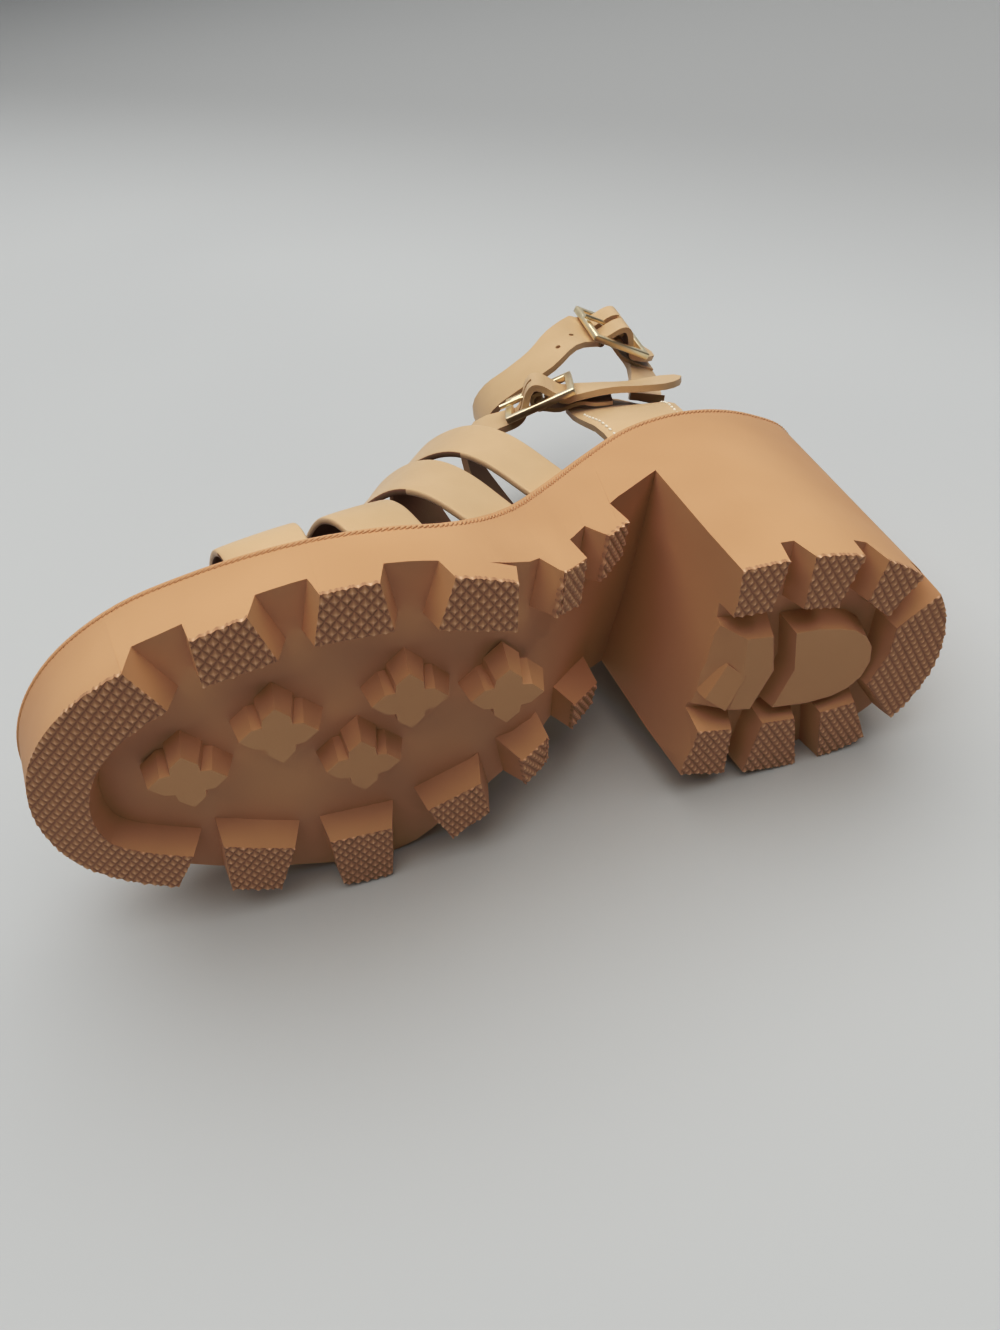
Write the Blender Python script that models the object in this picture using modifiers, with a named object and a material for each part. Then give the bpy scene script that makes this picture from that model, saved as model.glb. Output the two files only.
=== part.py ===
"""Platform sandal for a left foot, lying on its inner side.

One moulded sole with a block heel, a platform and deep lugs carries an insole, four
straps over the forefoot and instep, a heel quarter, an ankle strap sewn on the quarter's
back band, a lower ankle strap, and two buckles held by folded tabs.

Everything is designed on the standing shoe, in millimetres: X runs from the heel to
the toe, Y to the outer side of the foot, and Z up from the floor under the lugs.
The last step lays the shoe on its inner side, in metres.
"""
import functools
import math

import bmesh
import bpy
from mathutils import Matrix, Vector

MM = 0.001

# Driving sizes, in millimetres.
GAP = 0.3                  # clearance between two pieces that touch
RIM_WIDTH = 2.2            # lip of the sole round the footbed
POCKET_DEPTH = 2.2         # how far the footbed lies below the lip
LEATHER = 2.0              # a strap, lining included
TAB_LEATHER = 1.2          # the thinner leather folded round a buckle's bar
LUG_DEPTH = 8.0
LUG_DRAFT = 1.6            # how much wider a lug is at its root, on each side
LUG_BELOW = -0.35          # a lug's form starts this share of its depth below the tread
LUG_OVERREACH = 4.0        # how far a lug's form reaches past the edge of the sole
ROOT_SHARE = 1.1           # a lug's form ends this share of its depth up, inside the sole
STRAP_INSET = RIM_WIDTH + LEATHER + 0.75   # from the rim to a strap's inner face
STRAP_LIFT = 1.0           # of a strap's end over the footbed's floor
SLOT_MARGIN = 1.3          # play of a strap in its slot in the insole
SLOT_CUTTER = (10.0, 110.0)   # heights between which the slots are cut
STUD_SHORTFALL = 1.2       # studs end this far above the floor
STUD_DRAFT = 1.2           # how much wider a stud is at its root
TOE_SPRING_START = 180.0
TOE_SPRING_RADIUS = 155.0
OUTLINE_STEPS = 144
FAR = 70.0                 # half width of a cutter, beyond any part of the sole
BELOW = -20.0              # underside of a cutter

# The upper edge of the sole: x, height, outer y, inner y.
RIM = (
    (1.7, 91.9, -6.0, -6.0),
    (10.0, 90.7, 16.2, -25.2),
    (25.0, 87.4, 25.1, -33.1),
    (40.0, 84.0, 30.1, -34.4),
    (55.0, 81.5, 31.6, -32.8),
    (70.0, 77.9, 30.3, -29.6),
    (85.0, 68.4, 29.4, -26.0),
    (100.0, 54.7, 31.0, -23.8),
    (115.0, 39.6, 35.0, -25.0),
    (130.0, 28.3, 41.0, -33.8),
    (145.0, 24.5, 44.4, -48.2),
    (160.0, 24.4, 44.0, -51.5),
    (175.0, 25.9, 40.6, -49.5),
    (190.0, 28.0, 35.2, -46.0),
    (205.0, 29.8, 28.3, -42.7),
    (220.0, 30.3, 17.6, -38.6),
    (230.0, 29.5, 5.8, -31.5),
    (235.9, 28.3, -14.0, -14.0),
)
# The tread edge of the sole: x, outer y, inner y.
TREAD_EDGE = (
    (7.4, -0.6, -0.6),
    (15.0, 22.7, -22.2),
    (25.0, 31.6, -29.6),
    (40.0, 38.4, -33.1),
    (55.0, 40.5, -32.5),
    (70.0, 39.3, -29.7),
    (85.0, 37.5, -26.2),
    (100.0, 38.1, -23.9),
    (115.0, 41.4, -25.0),
    (130.0, 46.2, -33.3),
    (145.0, 48.5, -47.0),
    (160.0, 47.8, -50.2),
    (175.0, 44.6, -48.0),
    (190.0, 39.1, -44.4),
    (205.0, 31.2, -40.8),
    (215.0, 23.1, -38.1),
    (222.0, 14.8, -34.9),
    (228.0, 4.3, -29.3),
    (232.0, -14.0, -14.0),
)
# Underside between the lugs, from the heel's front face to the platform: x, height.
SHANK = ((71.3, 51.5), (86.7, 41.2), (97.1, 30.9), (104.6, 22.7), (114.0, 13.6), (122.9, 9.7), (130.0, 8.0))
# Undersides of the lugs that climb the arch: x, height.
ARCH_LUGS = ((84.0, 31.8), (93.0, 24.4), (102.3, 14.5), (109.6, 7.8), (118.0, 1.8), (124.0, 0.0))
ARCH_LEAN = 2.8            # a lug of the arch leans this far forward over its depth
# Front face of the heel: outer and inner edge x at the floor and at the shank.
BREAST_FLOOR = (71.5, 73.9)
BREAST_SHANK = (71.3, 82.0)
BREAST_EDGES = (39.6, -28.6)
BREAST_HEIGHT = 48.0       # between those two
BREAST_HOLLOW = 2.6
BREAST_STEPS = (FAR, 45.0, 30.0, 18.0, 5.5, -7.0, -19.0, -34.0, -FAR)

# Lugs with four corners. Where they meet the edge of the sole only x is given.
# name, side, front x, back x, inner front corner, inner back corner, zone
LUGS = (
    ("outer_1", 1, 188.4, 176.9, (188.0, 27.3), (172.4, 31.8), "platform"),
    ("outer_2", 1, 162.6, 150.9, (164.9, 34.4), (148.5, 35.5), "platform"),
    ("outer_3", 1, 135.8, 122.6, (139.3, 34.2), (122.2, 30.8), "platform"),
    ("outer_4", 1, 109.6, 102.3, (111.5, 27.6), (102.7, 23.6), "arch"),
    ("outer_5", 1, 93.0, 86.2, (94.6, 22.1), (87.0, 24.0), "arch"),
    ("inner_1", -1, 192.5, 180.6, (191.9, -26.0), (175.6, -30.9), "platform"),
    ("inner_2", -1, 164.9, 152.0, (166.9, -31.1), (151.5, -29.9), "platform"),
    ("inner_3", -1, 135.8, 126.2, (142.3, -25.3), (128.9, -18.4), "platform"),
    ("inner_4", -1, 115.9, 108.5, (118.0, -14.5), (109.2, -14.8), "arch"),
    ("inner_5", -1, 99.1, 90.6, (99.3, -14.7), (89.2, -18.1), "arch"),
    ("heel_outer_1", 1, 76.0, 60.4, (71.5, 25.6), (61.2, 26.2), "heel"),
    ("heel_outer_2", 1, 54.0, 41.1, (52.7, 25.0), (43.6, 24.3), "heel"),
    ("heel_outer_3", 1, 34.2, 22.8, (35.6, 24.6), (28.4, 18.7), "heel"),
    ("heel_inner_1", -1, 78.0, 60.7, (73.8, -12.4), (62.3, -14.0), "heel"),
    ("heel_inner_2", -1, 55.0, 39.0, (53.6, -13.7), (44.4, -13.9), "heel"),
    ("heel_inner_3", -1, 32.4, 19.7, (37.0, -13.3), (27.5, -11.5), "heel"),
)
TOE_LUG = dict(outer_x=202.0, inner_x=204.0, width=13.0, outer_root_x=195.5, inner_root_x=199.0)
HEEL_BACK_LUG = dict(outer_x=17.0, inner_x=14.9, inner_corners=((24.1, 13.9), (23.2, 5.3), (25.9, -5.2)))
# Four-petalled studs of the platform: x, y.
STUDS = ((196.0, -2.4), (174.8, 8.9), (145.6, 13.5), (157.1, -5.5), (123.1, 10.3))
# One petal from the stud's centre: its tip, a shoulder, the notch and the next shoulder.
PETAL = ((8.6, 0.0), (5.6, 3.0), (3.3, 3.3), (3.0, 5.6))
# The two smooth blocks in the middle of the heel's tread.
HEEL_BLOCK = ((51.9, 16.7), (46.0, 16.9), (40.0, 15.9), (35.5, 14.7), (31.5, 12.0), (28.7, 8.1),
              (27.3, 2.7), (28.2, -2.5), (30.8, -6.0), (35.0, -8.2), (41.8, -9.3), (51.7, -8.8),
              (48.9, 4.0))
# The front one slopes down to the heel's front face, with a small patch on the slope.
FRONT_BLOCK = ((64.8, 17.0), (58.0, 16.8), (54.9, 5.0), (58.3, -8.0), (64.2, -7.0), (63.0, 5.0))
FRONT_BLOCK_ROOT = ((73.0, 19.6), (57.0, 18.6), (53.4, 5.0), (57.2, -9.8), (73.0, -9.0), (72.0, 5.0))
# Its corners: x, y, height.
FRONT_PATCH = ((62.3, 4.4, 1.0), (65.4, -7.0, 1.0), (70.6, -3.7, 3.2), (66.8, 7.4, 3.2))

# The straps over the forefoot and instep. Each runs from the outer rim over the instep to
# the inner rim, and leans towards the toe. Columns: name; x of its front and back edges at
# the outer rim; x of both over the instep; height of both there; x of both at the inner rim.
STRAPS = (
    ("toe_strap", 179.0, 161.0, 188.0, 168.0, 48.8, 54.6, 186.0, 168.0),
    ("ball_strap", 152.0, 135.0, 166.0, 149.0, 54.0, 67.0, 161.0, 144.0),
    ("midfoot_strap", 122.0, 109.0, 150.5, 137.5, 79.0, 102.0, 126.0, 113.0),
    ("instep_strap", 102.5, 90.0, 132.0, 120.0, 105.0, 123.0, 103.0, 90.5),
)
INSTEP_Y = -4.0            # the ridge of the foot, a little to its inner side
STRAP_ROUNDNESS = 1.8      # of a strap's section: 2 is an ellipse
STRAP_BULGE = 5.0          # how far a strap swells sideways, half way up

# The form of the heel and ankle: height, back x, front x, outer y, inner y.
ANKLE = (
    (75.0, 6.0, 102.0, 26.0, -29.4),
    (95.0, 6.5, 102.0, 21.8, -29.4),
    (105.0, 7.0, 101.0, 19.0, -29.0),
    (115.0, 8.0, 100.0, 15.5, -28.4),
    (135.0, 11.0, 99.0, 14.0, -26.4),
    (160.0, 17.0, 98.0, 14.0, -24.0),
)
QUARTER_FRONT = (73.8, 73.5)     # x of the front edge of the outer and the inner leg
LOWER_STRAP_BASE = (90.0, 76.0)  # x of the lower ankle strap's edges at the inner rim
# Upper edge of the quarter and its band, from front to back: x, height.
QUARTER_TOP = ((6.0, 138.0), (20.0, 137.0), (33.0, 134.0), (50.0, 126.5), (65.0, 121.5), (77.0, 118.5))
QUARTER_LEAN = 30.0
# The empty heel sags towards the floor it lies on: how far, from which height and x.
SAG = 20.0
SAG_HEIGHTS = (105.0, 140.0)
SAG_ENDS = (75.0, 15.0)
# The open arch behind the quarter's legs, seen from the side: x, height.
QUARTER_ARCH = ((48.0, 78.0), (47.2, 90.0), (45.6, 99.0), (43.6, 107.0), (40.8, 114.5),
                (36.5, 119.0), (31.0, 121.7), (23.0, 124.0), (5.0, 126.0), (-20.0, 127.0), (-20.0, 78.0))

# Buckles: centre, direction of the strap through it (towards its free end), upward hint.
LOWER_BUCKLE = dict(name="lower_buckle", centre=(80.9, 17.2, 123.2), run=(-0.88, 0.44, -0.14),
                    up=(-0.27, -0.21, 0.94))
UPPER_BUCKLE = dict(name="upper_buckle", centre=(44.7, 20.4, 158.0), run=(-0.905, -0.4, 0.06),
                    up=(-0.07, 0.02, 0.99))
BUCKLE_LENGTH = 21.0       # between the centres of the two end bars
BUCKLE_WIDTH = 19.3        # between the centres of the two long bars
BUCKLE_WIRE = 1.15         # half the thickness of a bar
BUCKLE_ROUNDING = 0.5      # of its edges
PRONG_REACH = 2.5          # past the middle of the end bar it lies on
PRONG_WIRE = 0.8           # radius
PRONG_HOLE = 2.4           # width of the hole, and of the slot in the tab
HOLE_RUN = (-7.6, -0.2)    # the hole's ends, along the strap from the middle bar
SLOT_RUN = (-4.0, 4.4)     # the tab slot's ends

# Middle lines of the straps that the buckles close, before and after the buckle.
BUCKLED_WIDTH = 15.6
LOWER_STRAP = ((85.8, -26.5, 98.0), (90.0, -25.0, 113.0), (96.5, -17.5, 125.0), (102.5, -5.0, 130.0),
               (101.8, 4.0, 127.0))
LOWER_STRAP_END = ((60.5, 21.2, 118.3), (53.0, 21.0, 118.0), (44.0, 20.4, 119.3), (34.0, 20.2, 122.3))
ANKLE_STRAP = ((44.0, -36.3, 137.0), (56.0, -37.2, 142.0), (68.0, -33.0, 146.0), (80.0, -24.5, 148.5),
               (89.5, -14.5, 149.0), (94.0, -3.0, 148.0), (91.0, 5.5, 146.0), (83.5, 12.5, 144.0),
               (74.0, 18.5, 145.0), (65.5, 22.3, 151.0))
ANKLE_STRAP_END = ((28.3, 10.8, 157.2),)
# Where those pieces lie on the quarter: x, height and how far they stand off it.
ANKLE_STRAP_ROOT = ((13.0, 131.0, 0.0), (22.0, 131.0, 0.0), (33.0, 131.0, 0.0))
LOWER_TAB_ROOT = ((58.8, 116.0, 0.0), (64.0, 116.5, 0.3))
POST_ROOT = ((47.0, 115.0, 0.7), (46.2, 118.5, 0.7), (45.0, 122.0, 0.9))
POST_TOP = (14.5, -6.9, (-8.0, 5.0))   # where the post meets the tab: along, out, and from and to up
STRAP_TAPER = 12.0         # length of a strap's rounded tip
TIP_SHARE = 0.25           # of its width left at the very tip
BEND_SPAN = 6              # steps either side over which a strap's cross direction is evened out
TAB_WIDTH = 11.0
LOWER_STRAP_LEAN = 0.4     # how far a strap's face turns up from level
ANKLE_CENTRE = (54.0, -4.0)
ANKLE_HALF = (44.0, 27.0)

# How the shoe lies: turned about its length, then about the floor's other axis. Seen from
# the standing shoe, the floor is then a slope beside its inner side.
LIE_ROLL = 1.58
LIE_PITCH = 8.59
FLOOR_BESIDE = -27.2       # the floor's y below the heel's back, at height 0
LIE_SHIFT = (118.72, -83.81, 26.85)

COLOURS = {
    "rubber": ((0.61, 0.33, 0.18), 0.62, 0.0),
    "leather": ((0.66, 0.44, 0.27), 0.5, 0.0),
    "lining": ((0.42, 0.24, 0.15), 0.7, 0.0),
    "brass": ((0.83, 0.66, 0.38), 0.22, 1.0),
}


def clear_scene():
    for old in list(bpy.data.objects):
        bpy.data.objects.remove(old, do_unlink=True)


def new_collection(name):
    group = bpy.data.collections.new(name)
    bpy.context.scene.collection.children.link(group)
    return group


def new_material(name):
    colour, roughness, metallic = COLOURS[name]
    material = bpy.data.materials.new(name)
    material.use_nodes = True
    shader = material.node_tree.nodes["Principled BSDF"]
    shader.inputs["Base Color"].default_value = (*colour, 1.0)
    shader.inputs["Roughness"].default_value = roughness
    shader.inputs["Metallic"].default_value = metallic
    return material


def smooth_value(knots, values, at):
    """A smooth curve through (knot, value) pairs, straight on past the ends."""
    last = len(knots) - 1
    slopes = []
    for i in range(last + 1):
        before, after = max(i - 1, 0), min(i + 1, last)
        slopes.append((values[after] - values[before]) / (knots[after] - knots[before]))
    if at <= knots[0]:
        return values[0] + slopes[0] * (at - knots[0])
    if at >= knots[last]:
        return values[last] + slopes[last] * (at - knots[last])
    i = max(k for k in range(last) if knots[k] <= at)
    span = knots[i + 1] - knots[i]
    t = (at - knots[i]) / span
    return ((2 * t ** 3 - 3 * t ** 2 + 1) * values[i] + (t ** 3 - 2 * t ** 2 + t) * span * slopes[i]
            + (3 * t ** 2 - 2 * t ** 3) * values[i + 1] + (t ** 3 - t ** 2) * span * slopes[i + 1])


def column(table, x, number):
    """The smooth value of one column of a table whose first column is x."""
    return smooth_value([row[0] for row in table], [row[number] for row in table], x)


def rim_height(x):
    return column(RIM, min(max(x, RIM[0][0]), RIM[-1][0]), 1)


def toe_spring(x):
    ahead = max(x - TOE_SPRING_START, 0.0)
    return TOE_SPRING_RADIUS - math.sqrt(TOE_SPRING_RADIUS ** 2 - ahead ** 2)


def shank_height(x):
    if x >= SHANK[-1][0]:
        return LUG_DEPTH + toe_spring(x)
    return column(SHANK, x, 1)


def closed_outline(rows):
    """Points round an outline whose rows hold x, outer y and inner y, from the heel's
    back along the outer side to the toe and back along the inner side."""
    heel, toe = rows[0][0], rows[-1][0]
    middle, half = (heel + toe) / 2, (toe - heel) / 2
    turns = [math.acos((middle - row[0]) / half) for row in rows]
    knots = turns + [2 * math.pi - turn for turn in reversed(turns[1:-1])]
    sides = [row[1] for row in rows] + [row[2] for row in reversed(rows[1:-1])]
    knots = [knot - 2 * math.pi for knot in knots[-3:]] + knots + [knot + 2 * math.pi for knot in knots[:3]]
    sides = sides[-3:] + sides + sides[:3]
    points = []
    for step in range(OUTLINE_STEPS):
        turn = 2 * math.pi * step / OUTLINE_STEPS
        points.append(Vector((middle - half * math.cos(turn), smooth_value(knots, sides, turn))))
    return points


def grown(points, distance):
    """A closed outline moved outward by a distance, along the bisector at each point."""
    turning = sum(points[i - 1].cross(points[i]) for i in range(len(points)))
    outward = 1.0 if turning > 0 else -1.0
    moved = []
    for i, point in enumerate(points):
        before = (point - points[i - 1]).normalized()
        after = (points[(i + 1) % len(points)] - point).normalized()
        normal_before = Vector((before.y, -before.x)) * outward
        normal_after = Vector((after.y, -after.x)) * outward
        bisector = (normal_before + normal_after).normalized()
        moved.append(point + bisector * distance / max(bisector.dot(normal_before), 0.5))
    return moved


@functools.lru_cache(maxsize=None)
def sole_edge(rows, inset):
    """The rim or the tread edge, moved inward by an inset."""
    return grown(closed_outline(rows), -inset)


def edge_y(rows, x, side, inset=0.0):
    """Where an outline crosses a station on its outer (1) or inner (-1) side."""
    points = sole_edge(rows, inset)
    half = len(points) // 2
    run = points[:half + 1] if side > 0 else points[half:] + points[:1]
    for a, b in zip(run, run[1:]):
        if min(a.x, b.x) <= x <= max(a.x, b.x):
            return a.y + (b.y - a.y) * (x - a.x) / (b.x - a.x)
    raise ValueError(f"no edge at {x}")


RIM_PLAN = tuple((x, outer, inner) for x, height, outer, inner in RIM)


def new_object(name, mesh_builder, group, material=None, cutter=False):
    """An object from a bmesh filled in millimetres."""
    form = bmesh.new()
    mesh_builder(form)
    bmesh.ops.scale(form, vec=(MM, MM, MM), verts=form.verts)
    mesh = bpy.data.meshes.new(name)
    form.to_mesh(mesh)
    form.free()
    item = bpy.data.objects.new(name, mesh)
    group.objects.link(item)
    if material:
        mesh.materials.append(material)
    if cutter:
        item.hide_render = True
        item.display_type = "WIRE"
    return item


def add_rings(form, rings, ladder=False):
    """A closed body through rings of points. A ladder closes each end across the shoe."""
    loops = [[form.verts.new(point) for point in ring] for ring in rings]
    count = len(loops[0])
    faces = []
    for low, high in zip(loops, loops[1:]):
        for i in range(count):
            j = (i + 1) % count
            faces.append(form.faces.new((low[i], low[j], high[j], high[i])))
    for loop in (loops[0], loops[-1]):
        if ladder:
            half = count // 2
            faces.append(form.faces.new((loop[0], loop[1], loop[-1])))
            faces.append(form.faces.new((loop[half - 1], loop[half], loop[half + 1])))
            for i in range(1, half - 1):
                faces.append(form.faces.new((loop[i], loop[i + 1], loop[count - i - 1], loop[count - i])))
        else:
            faces.append(form.faces.new(loop))
    bmesh.ops.recalc_face_normals(form, faces=faces)


def raised(points, height):
    """Plan points lifted to a height, which may depend on x."""
    if callable(height):
        return [Vector((point.x, point.y, height(point.x))) for point in points]
    return [Vector((point[0], point[1], height)) for point in points]


def boolean(item, other, operation="DIFFERENCE"):
    modifier = item.modifiers.new(f"{operation.lower()}_{other.name}", "BOOLEAN")
    modifier.operation = operation
    modifier.solver = "EXACT"
    modifier.use_self = True
    modifier.object = other


# The sole ---------------------------------------------------------------------------

def breast_x(y, height):
    """The heel's front face, which is slightly hollow from side to side."""
    across = (BREAST_EDGES[0] - y) / (BREAST_EDGES[0] - BREAST_EDGES[1])
    floor = BREAST_FLOOR[0] + (BREAST_FLOOR[1] - BREAST_FLOOR[0]) * across
    shank = BREAST_SHANK[0] + (BREAST_SHANK[1] - BREAST_SHANK[0]) * across
    hollow = BREAST_HOLLOW * max(0.0, 4 * across * (1 - across))
    return floor + (shank - floor) * height / BREAST_HEIGHT - hollow


def under_arch_ring(y):
    """Side view of what is cut away in front of the heel and between the lugs."""
    crease = breast_x(y, BREAST_HEIGHT)
    slope_steps = 9
    ring = [Vector((breast_x(y, BELOW), y, BELOW))]
    for step in range(slope_steps + 1):
        x = crease + (SHANK[-1][0] - crease) * step / slope_steps
        ring.append(Vector((x, y, shank_height(x))))
    for x in (155.0, TOE_SPRING_START, 195.0, 210.0, 225.0, 240.0, 255.0):
        ring.append(Vector((x, y, shank_height(x))))
    ring.append(Vector((255.0, y, BELOW)))
    return ring


def lug_rings(corners, zone):
    """The two ends of a lug, from below its tread up into the sole."""
    low = 0.0 if zone == "arch" else LUG_BELOW
    rings = []
    for share in (low, ROOT_SHARE):
        ring = []
        for point in grown(corners, LUG_DRAFT * share):
            if zone == "arch":
                height = column(ARCH_LUGS, point.x, 1)
                ring.append(Vector((point.x + ARCH_LEAN * share, point.y, height + LUG_DEPTH * share)))
            elif zone == "heel":
                ring.append(Vector((point.x, point.y, LUG_DEPTH * share)))
            else:
                ring.append(Vector((point.x, point.y, toe_spring(point.x) + LUG_DEPTH * share)))
        rings.append(ring)
    return rings


def four_corners(side, front, back, inner_front, inner_back):
    corners = []
    for x, inner in ((front, inner_front), (back, inner_back)):
        inner = Vector(inner)
        outer = Vector((x, edge_y(TREAD_EDGE, x, side)))
        corners.append(outer + (outer - inner).normalized() * LUG_OVERREACH)
    return [corners[0], corners[1], Vector(inner_back), Vector(inner_front)]


def toe_lug_corners():
    edge = closed_outline(TREAD_EDGE)
    beyond = grown(edge, LUG_OVERREACH)
    inside = grown(edge, -TOE_LUG["width"])
    half = len(edge) // 2

    def limit(i, outer, inner):
        return outer if i <= half else inner

    outer_run = [beyond[i] for i in range(len(edge))
                 if edge[i].x > limit(i, TOE_LUG["outer_x"], TOE_LUG["inner_x"])]
    inner_run = [inside[i] for i in range(len(edge))
                 if inside[i].x > limit(i, TOE_LUG["outer_root_x"], TOE_LUG["inner_root_x"])]
    return outer_run + inner_run[::-2]


def heel_back_corners():
    edge = closed_outline(TREAD_EDGE)
    beyond = grown(edge, LUG_OVERREACH)
    count = len(edge)
    inner_side = [i for i in range(count // 2, count) if edge[i].x < HEEL_BACK_LUG["inner_x"]]
    outer_side = [i for i in range(count // 2) if edge[i].x < HEEL_BACK_LUG["outer_x"]]
    outer_run = [beyond[i] for i in inner_side + outer_side]
    return outer_run + [Vector(corner) for corner in HEEL_BACK_LUG["inner_corners"]]


def add_block(form, corners, root=None):
    """A smooth block of the tread that ends short of the floor."""
    corners = [Vector(corner) for corner in corners]
    root = [Vector(corner) for corner in root] if root else grown(corners, STUD_DRAFT)
    base = toe_spring(sum(corner.x for corner in corners) / len(corners))
    past = [start + (end - start) * ROOT_SHARE for start, end in zip(corners, root)]
    low = raised(corners, base + STUD_SHORTFALL)
    high = raised(past, base + STUD_SHORTFALL + (LUG_DEPTH - STUD_SHORTFALL) * ROOT_SHARE)
    add_rings(form, [low, high])


def stud_corners(centre):
    corners = []
    for quarter in range(4):
        turn = Matrix.Rotation(quarter * math.pi / 2, 2)
        corners += [Vector(centre) + turn @ Vector(corner) for corner in PETAL]
    return corners


def make_sole(group, cutters, material):
    edge = closed_outline(TREAD_EDGE)
    rim = closed_outline(RIM_PLAN)

    def block(form):
        add_rings(form, [raised(edge, toe_spring), raised(rim, rim_height)], ladder=True)

    def platform_cut(form):
        add_rings(form, [under_arch_ring(y) for y in BREAST_STEPS])

    def heel_cut(form):
        corners = [Vector(corner) for corner in ((110.0, FAR), (-20.0, FAR), (-20.0, -FAR), (110.0, -FAR))]
        add_rings(form, [raised(corners, BELOW / 2), raised(corners, LUG_DEPTH)])

    def platform_lugs(form):
        for name, side, front, back, inner_front, inner_back, zone in LUGS:
            if zone != "heel":
                corners = four_corners(side, front, back, inner_front, inner_back)
                add_rings(form, lug_rings(corners, zone))
        add_rings(form, lug_rings(toe_lug_corners(), "platform"))
        for centre in STUDS:
            add_block(form, stud_corners(centre))

    def heel_lugs(form):
        for name, side, front, back, inner_front, inner_back, zone in LUGS:
            if zone == "heel":
                corners = four_corners(side, front, back, inner_front, inner_back)
                add_rings(form, lug_rings(corners, zone))
        add_rings(form, lug_rings(heel_back_corners(), "heel"))
        add_block(form, HEEL_BLOCK)
        add_block(form, FRONT_BLOCK, root=FRONT_BLOCK_ROOT)

    def front_patch(form):
        low = [Vector(corner) for corner in FRONT_PATCH]
        high = raised(grown([corner.to_2d() for corner in low], STUD_DRAFT), LUG_DEPTH * ROOT_SHARE)
        add_rings(form, [low, high])

    def pocket(form):
        inside = grown(rim, -RIM_WIDTH)
        floor = raised(inside, lambda x: rim_height(x) - POCKET_DEPTH)
        above = raised(inside, lambda x: rim_height(x) + 10.0)
        add_rings(form, [floor, above], ladder=True)

    sole = new_object("sole_unit", block, group, material)
    front_cutter = new_object("cut_platform_tread", platform_cut, cutters, cutter=True)
    heel_cutter = new_object("cut_heel_tread", heel_cut, cutters, cutter=True)
    boolean(front_cutter, new_object("platform_lugs", platform_lugs, cutters, cutter=True))
    boolean(heel_cutter, new_object("heel_lugs", heel_lugs, cutters, cutter=True))
    boolean(heel_cutter, new_object("heel_front_patch", front_patch, cutters, cutter=True))
    boolean(sole, new_object("cut_footbed", pocket, cutters, cutter=True))
    boolean(sole, front_cutter)
    boolean(sole, heel_cutter)
    return sole


def slot_corners(front, back, side):
    """Plan of the slot between insole and lip that a strap stands in."""
    inner_run, outer_run = [], []
    steps = 5
    for step in range(steps + 1):
        x = front + SLOT_MARGIN + (back - front - 2 * SLOT_MARGIN) * step / steps
        inset = STRAP_INSET + GAP + SLOT_MARGIN
        inner_run.append(Vector((x, edge_y(RIM_PLAN, x, side, inset))))
        outer_run.append(Vector((x, edge_y(RIM_PLAN, x, side) + side * 4.0)))
    return inner_run + outer_run[::-1]


def make_insole(group, cutters, material):
    def sheet(form):
        inside = grown(closed_outline(RIM_PLAN), -RIM_WIDTH - GAP)
        low = raised(inside, lambda x: rim_height(x) - POCKET_DEPTH + GAP)
        high = raised(inside, rim_height)
        add_rings(form, [low, high], ladder=True)

    def slots(form):
        spans = [(strap[1], strap[2], 1) for strap in STRAPS]
        spans += [(strap[7], strap[8], -1) for strap in STRAPS[:3]]
        spans += [(STRAPS[3][7], LOWER_STRAP_BASE[1], -1)]
        spans += [(front, QUARTER_ARCH[0][0], side) for front, side in zip(QUARTER_FRONT, (1, -1))]
        for front, back, side in spans:
            corners = slot_corners(front, back, side)
            add_rings(form, [raised(corners, height) for height in SLOT_CUTTER])

    insole = new_object("insole", sheet, group, material)
    boolean(insole, new_object("cut_strap_slots", slots, cutters, cutter=True))
    return insole


# The upper --------------------------------------------------------------------------

def strap_point(row, share, turn):
    """A strap's inner face. Share runs from its back edge (0) to its front edge (1), and turn
    from the outer rim (0) over the instep (0.5) to the inner rim (1)."""
    name, *sizes = row
    outer_x, crest_x, crest_z, inner_x = (back + (front - back) * share
                                          for front, back in zip(sizes[::2], sizes[1::2]))
    side = 1 if turn <= 0.5 else -1
    base_x = outer_x if side > 0 else inner_x
    base_y = edge_y(RIM_PLAN, base_x, side, STRAP_INSET)
    base_z = rim_height(base_x) - POCKET_DEPTH + STRAP_LIFT
    angle = math.pi * turn
    up = abs(math.sin(angle)) ** (2 / STRAP_ROUNDNESS)
    width = abs(math.cos(angle)) ** (2 / STRAP_ROUNDNESS)
    bulge = side * STRAP_BULGE * math.sin(math.pi * up) ** 2
    return Vector((base_x + (crest_x - base_x) * up, INSTEP_Y + (base_y - INSTEP_Y) * width + bulge,
                   base_z + (crest_z - base_z) * up))


def sheet_builder(rows):
    """A mesh builder for an open sheet of points, row by row."""
    def build(form):
        grid = [[form.verts.new(point) for point in row] for row in rows]
        for upper, lower in zip(grid, grid[1:]):
            for i in range(len(upper) - 1):
                form.faces.new((upper[i], upper[i + 1], lower[i + 1], lower[i]))
    return build


def solidify(item, thickness, offset, even):
    modifier = item.modifiers.new("leather", "SOLIDIFY")
    modifier.thickness = thickness * MM
    modifier.offset = offset
    modifier.use_even_offset = even


def make_strap(row, group, material):
    turns = [0.0, 0.03, 0.07, 0.12] + [0.18 + 0.64 * i / 12 for i in range(13)] + [0.88, 0.93, 0.97, 1.0]
    rows = [[strap_point(row, share, turn) for turn in turns] for share in (0.0, 0.5, 1.0)]
    strap = new_object(row[0], sheet_builder(rows), group, material)
    solidify(strap, LEATHER, 1.0, even=True)
    return strap


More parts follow.
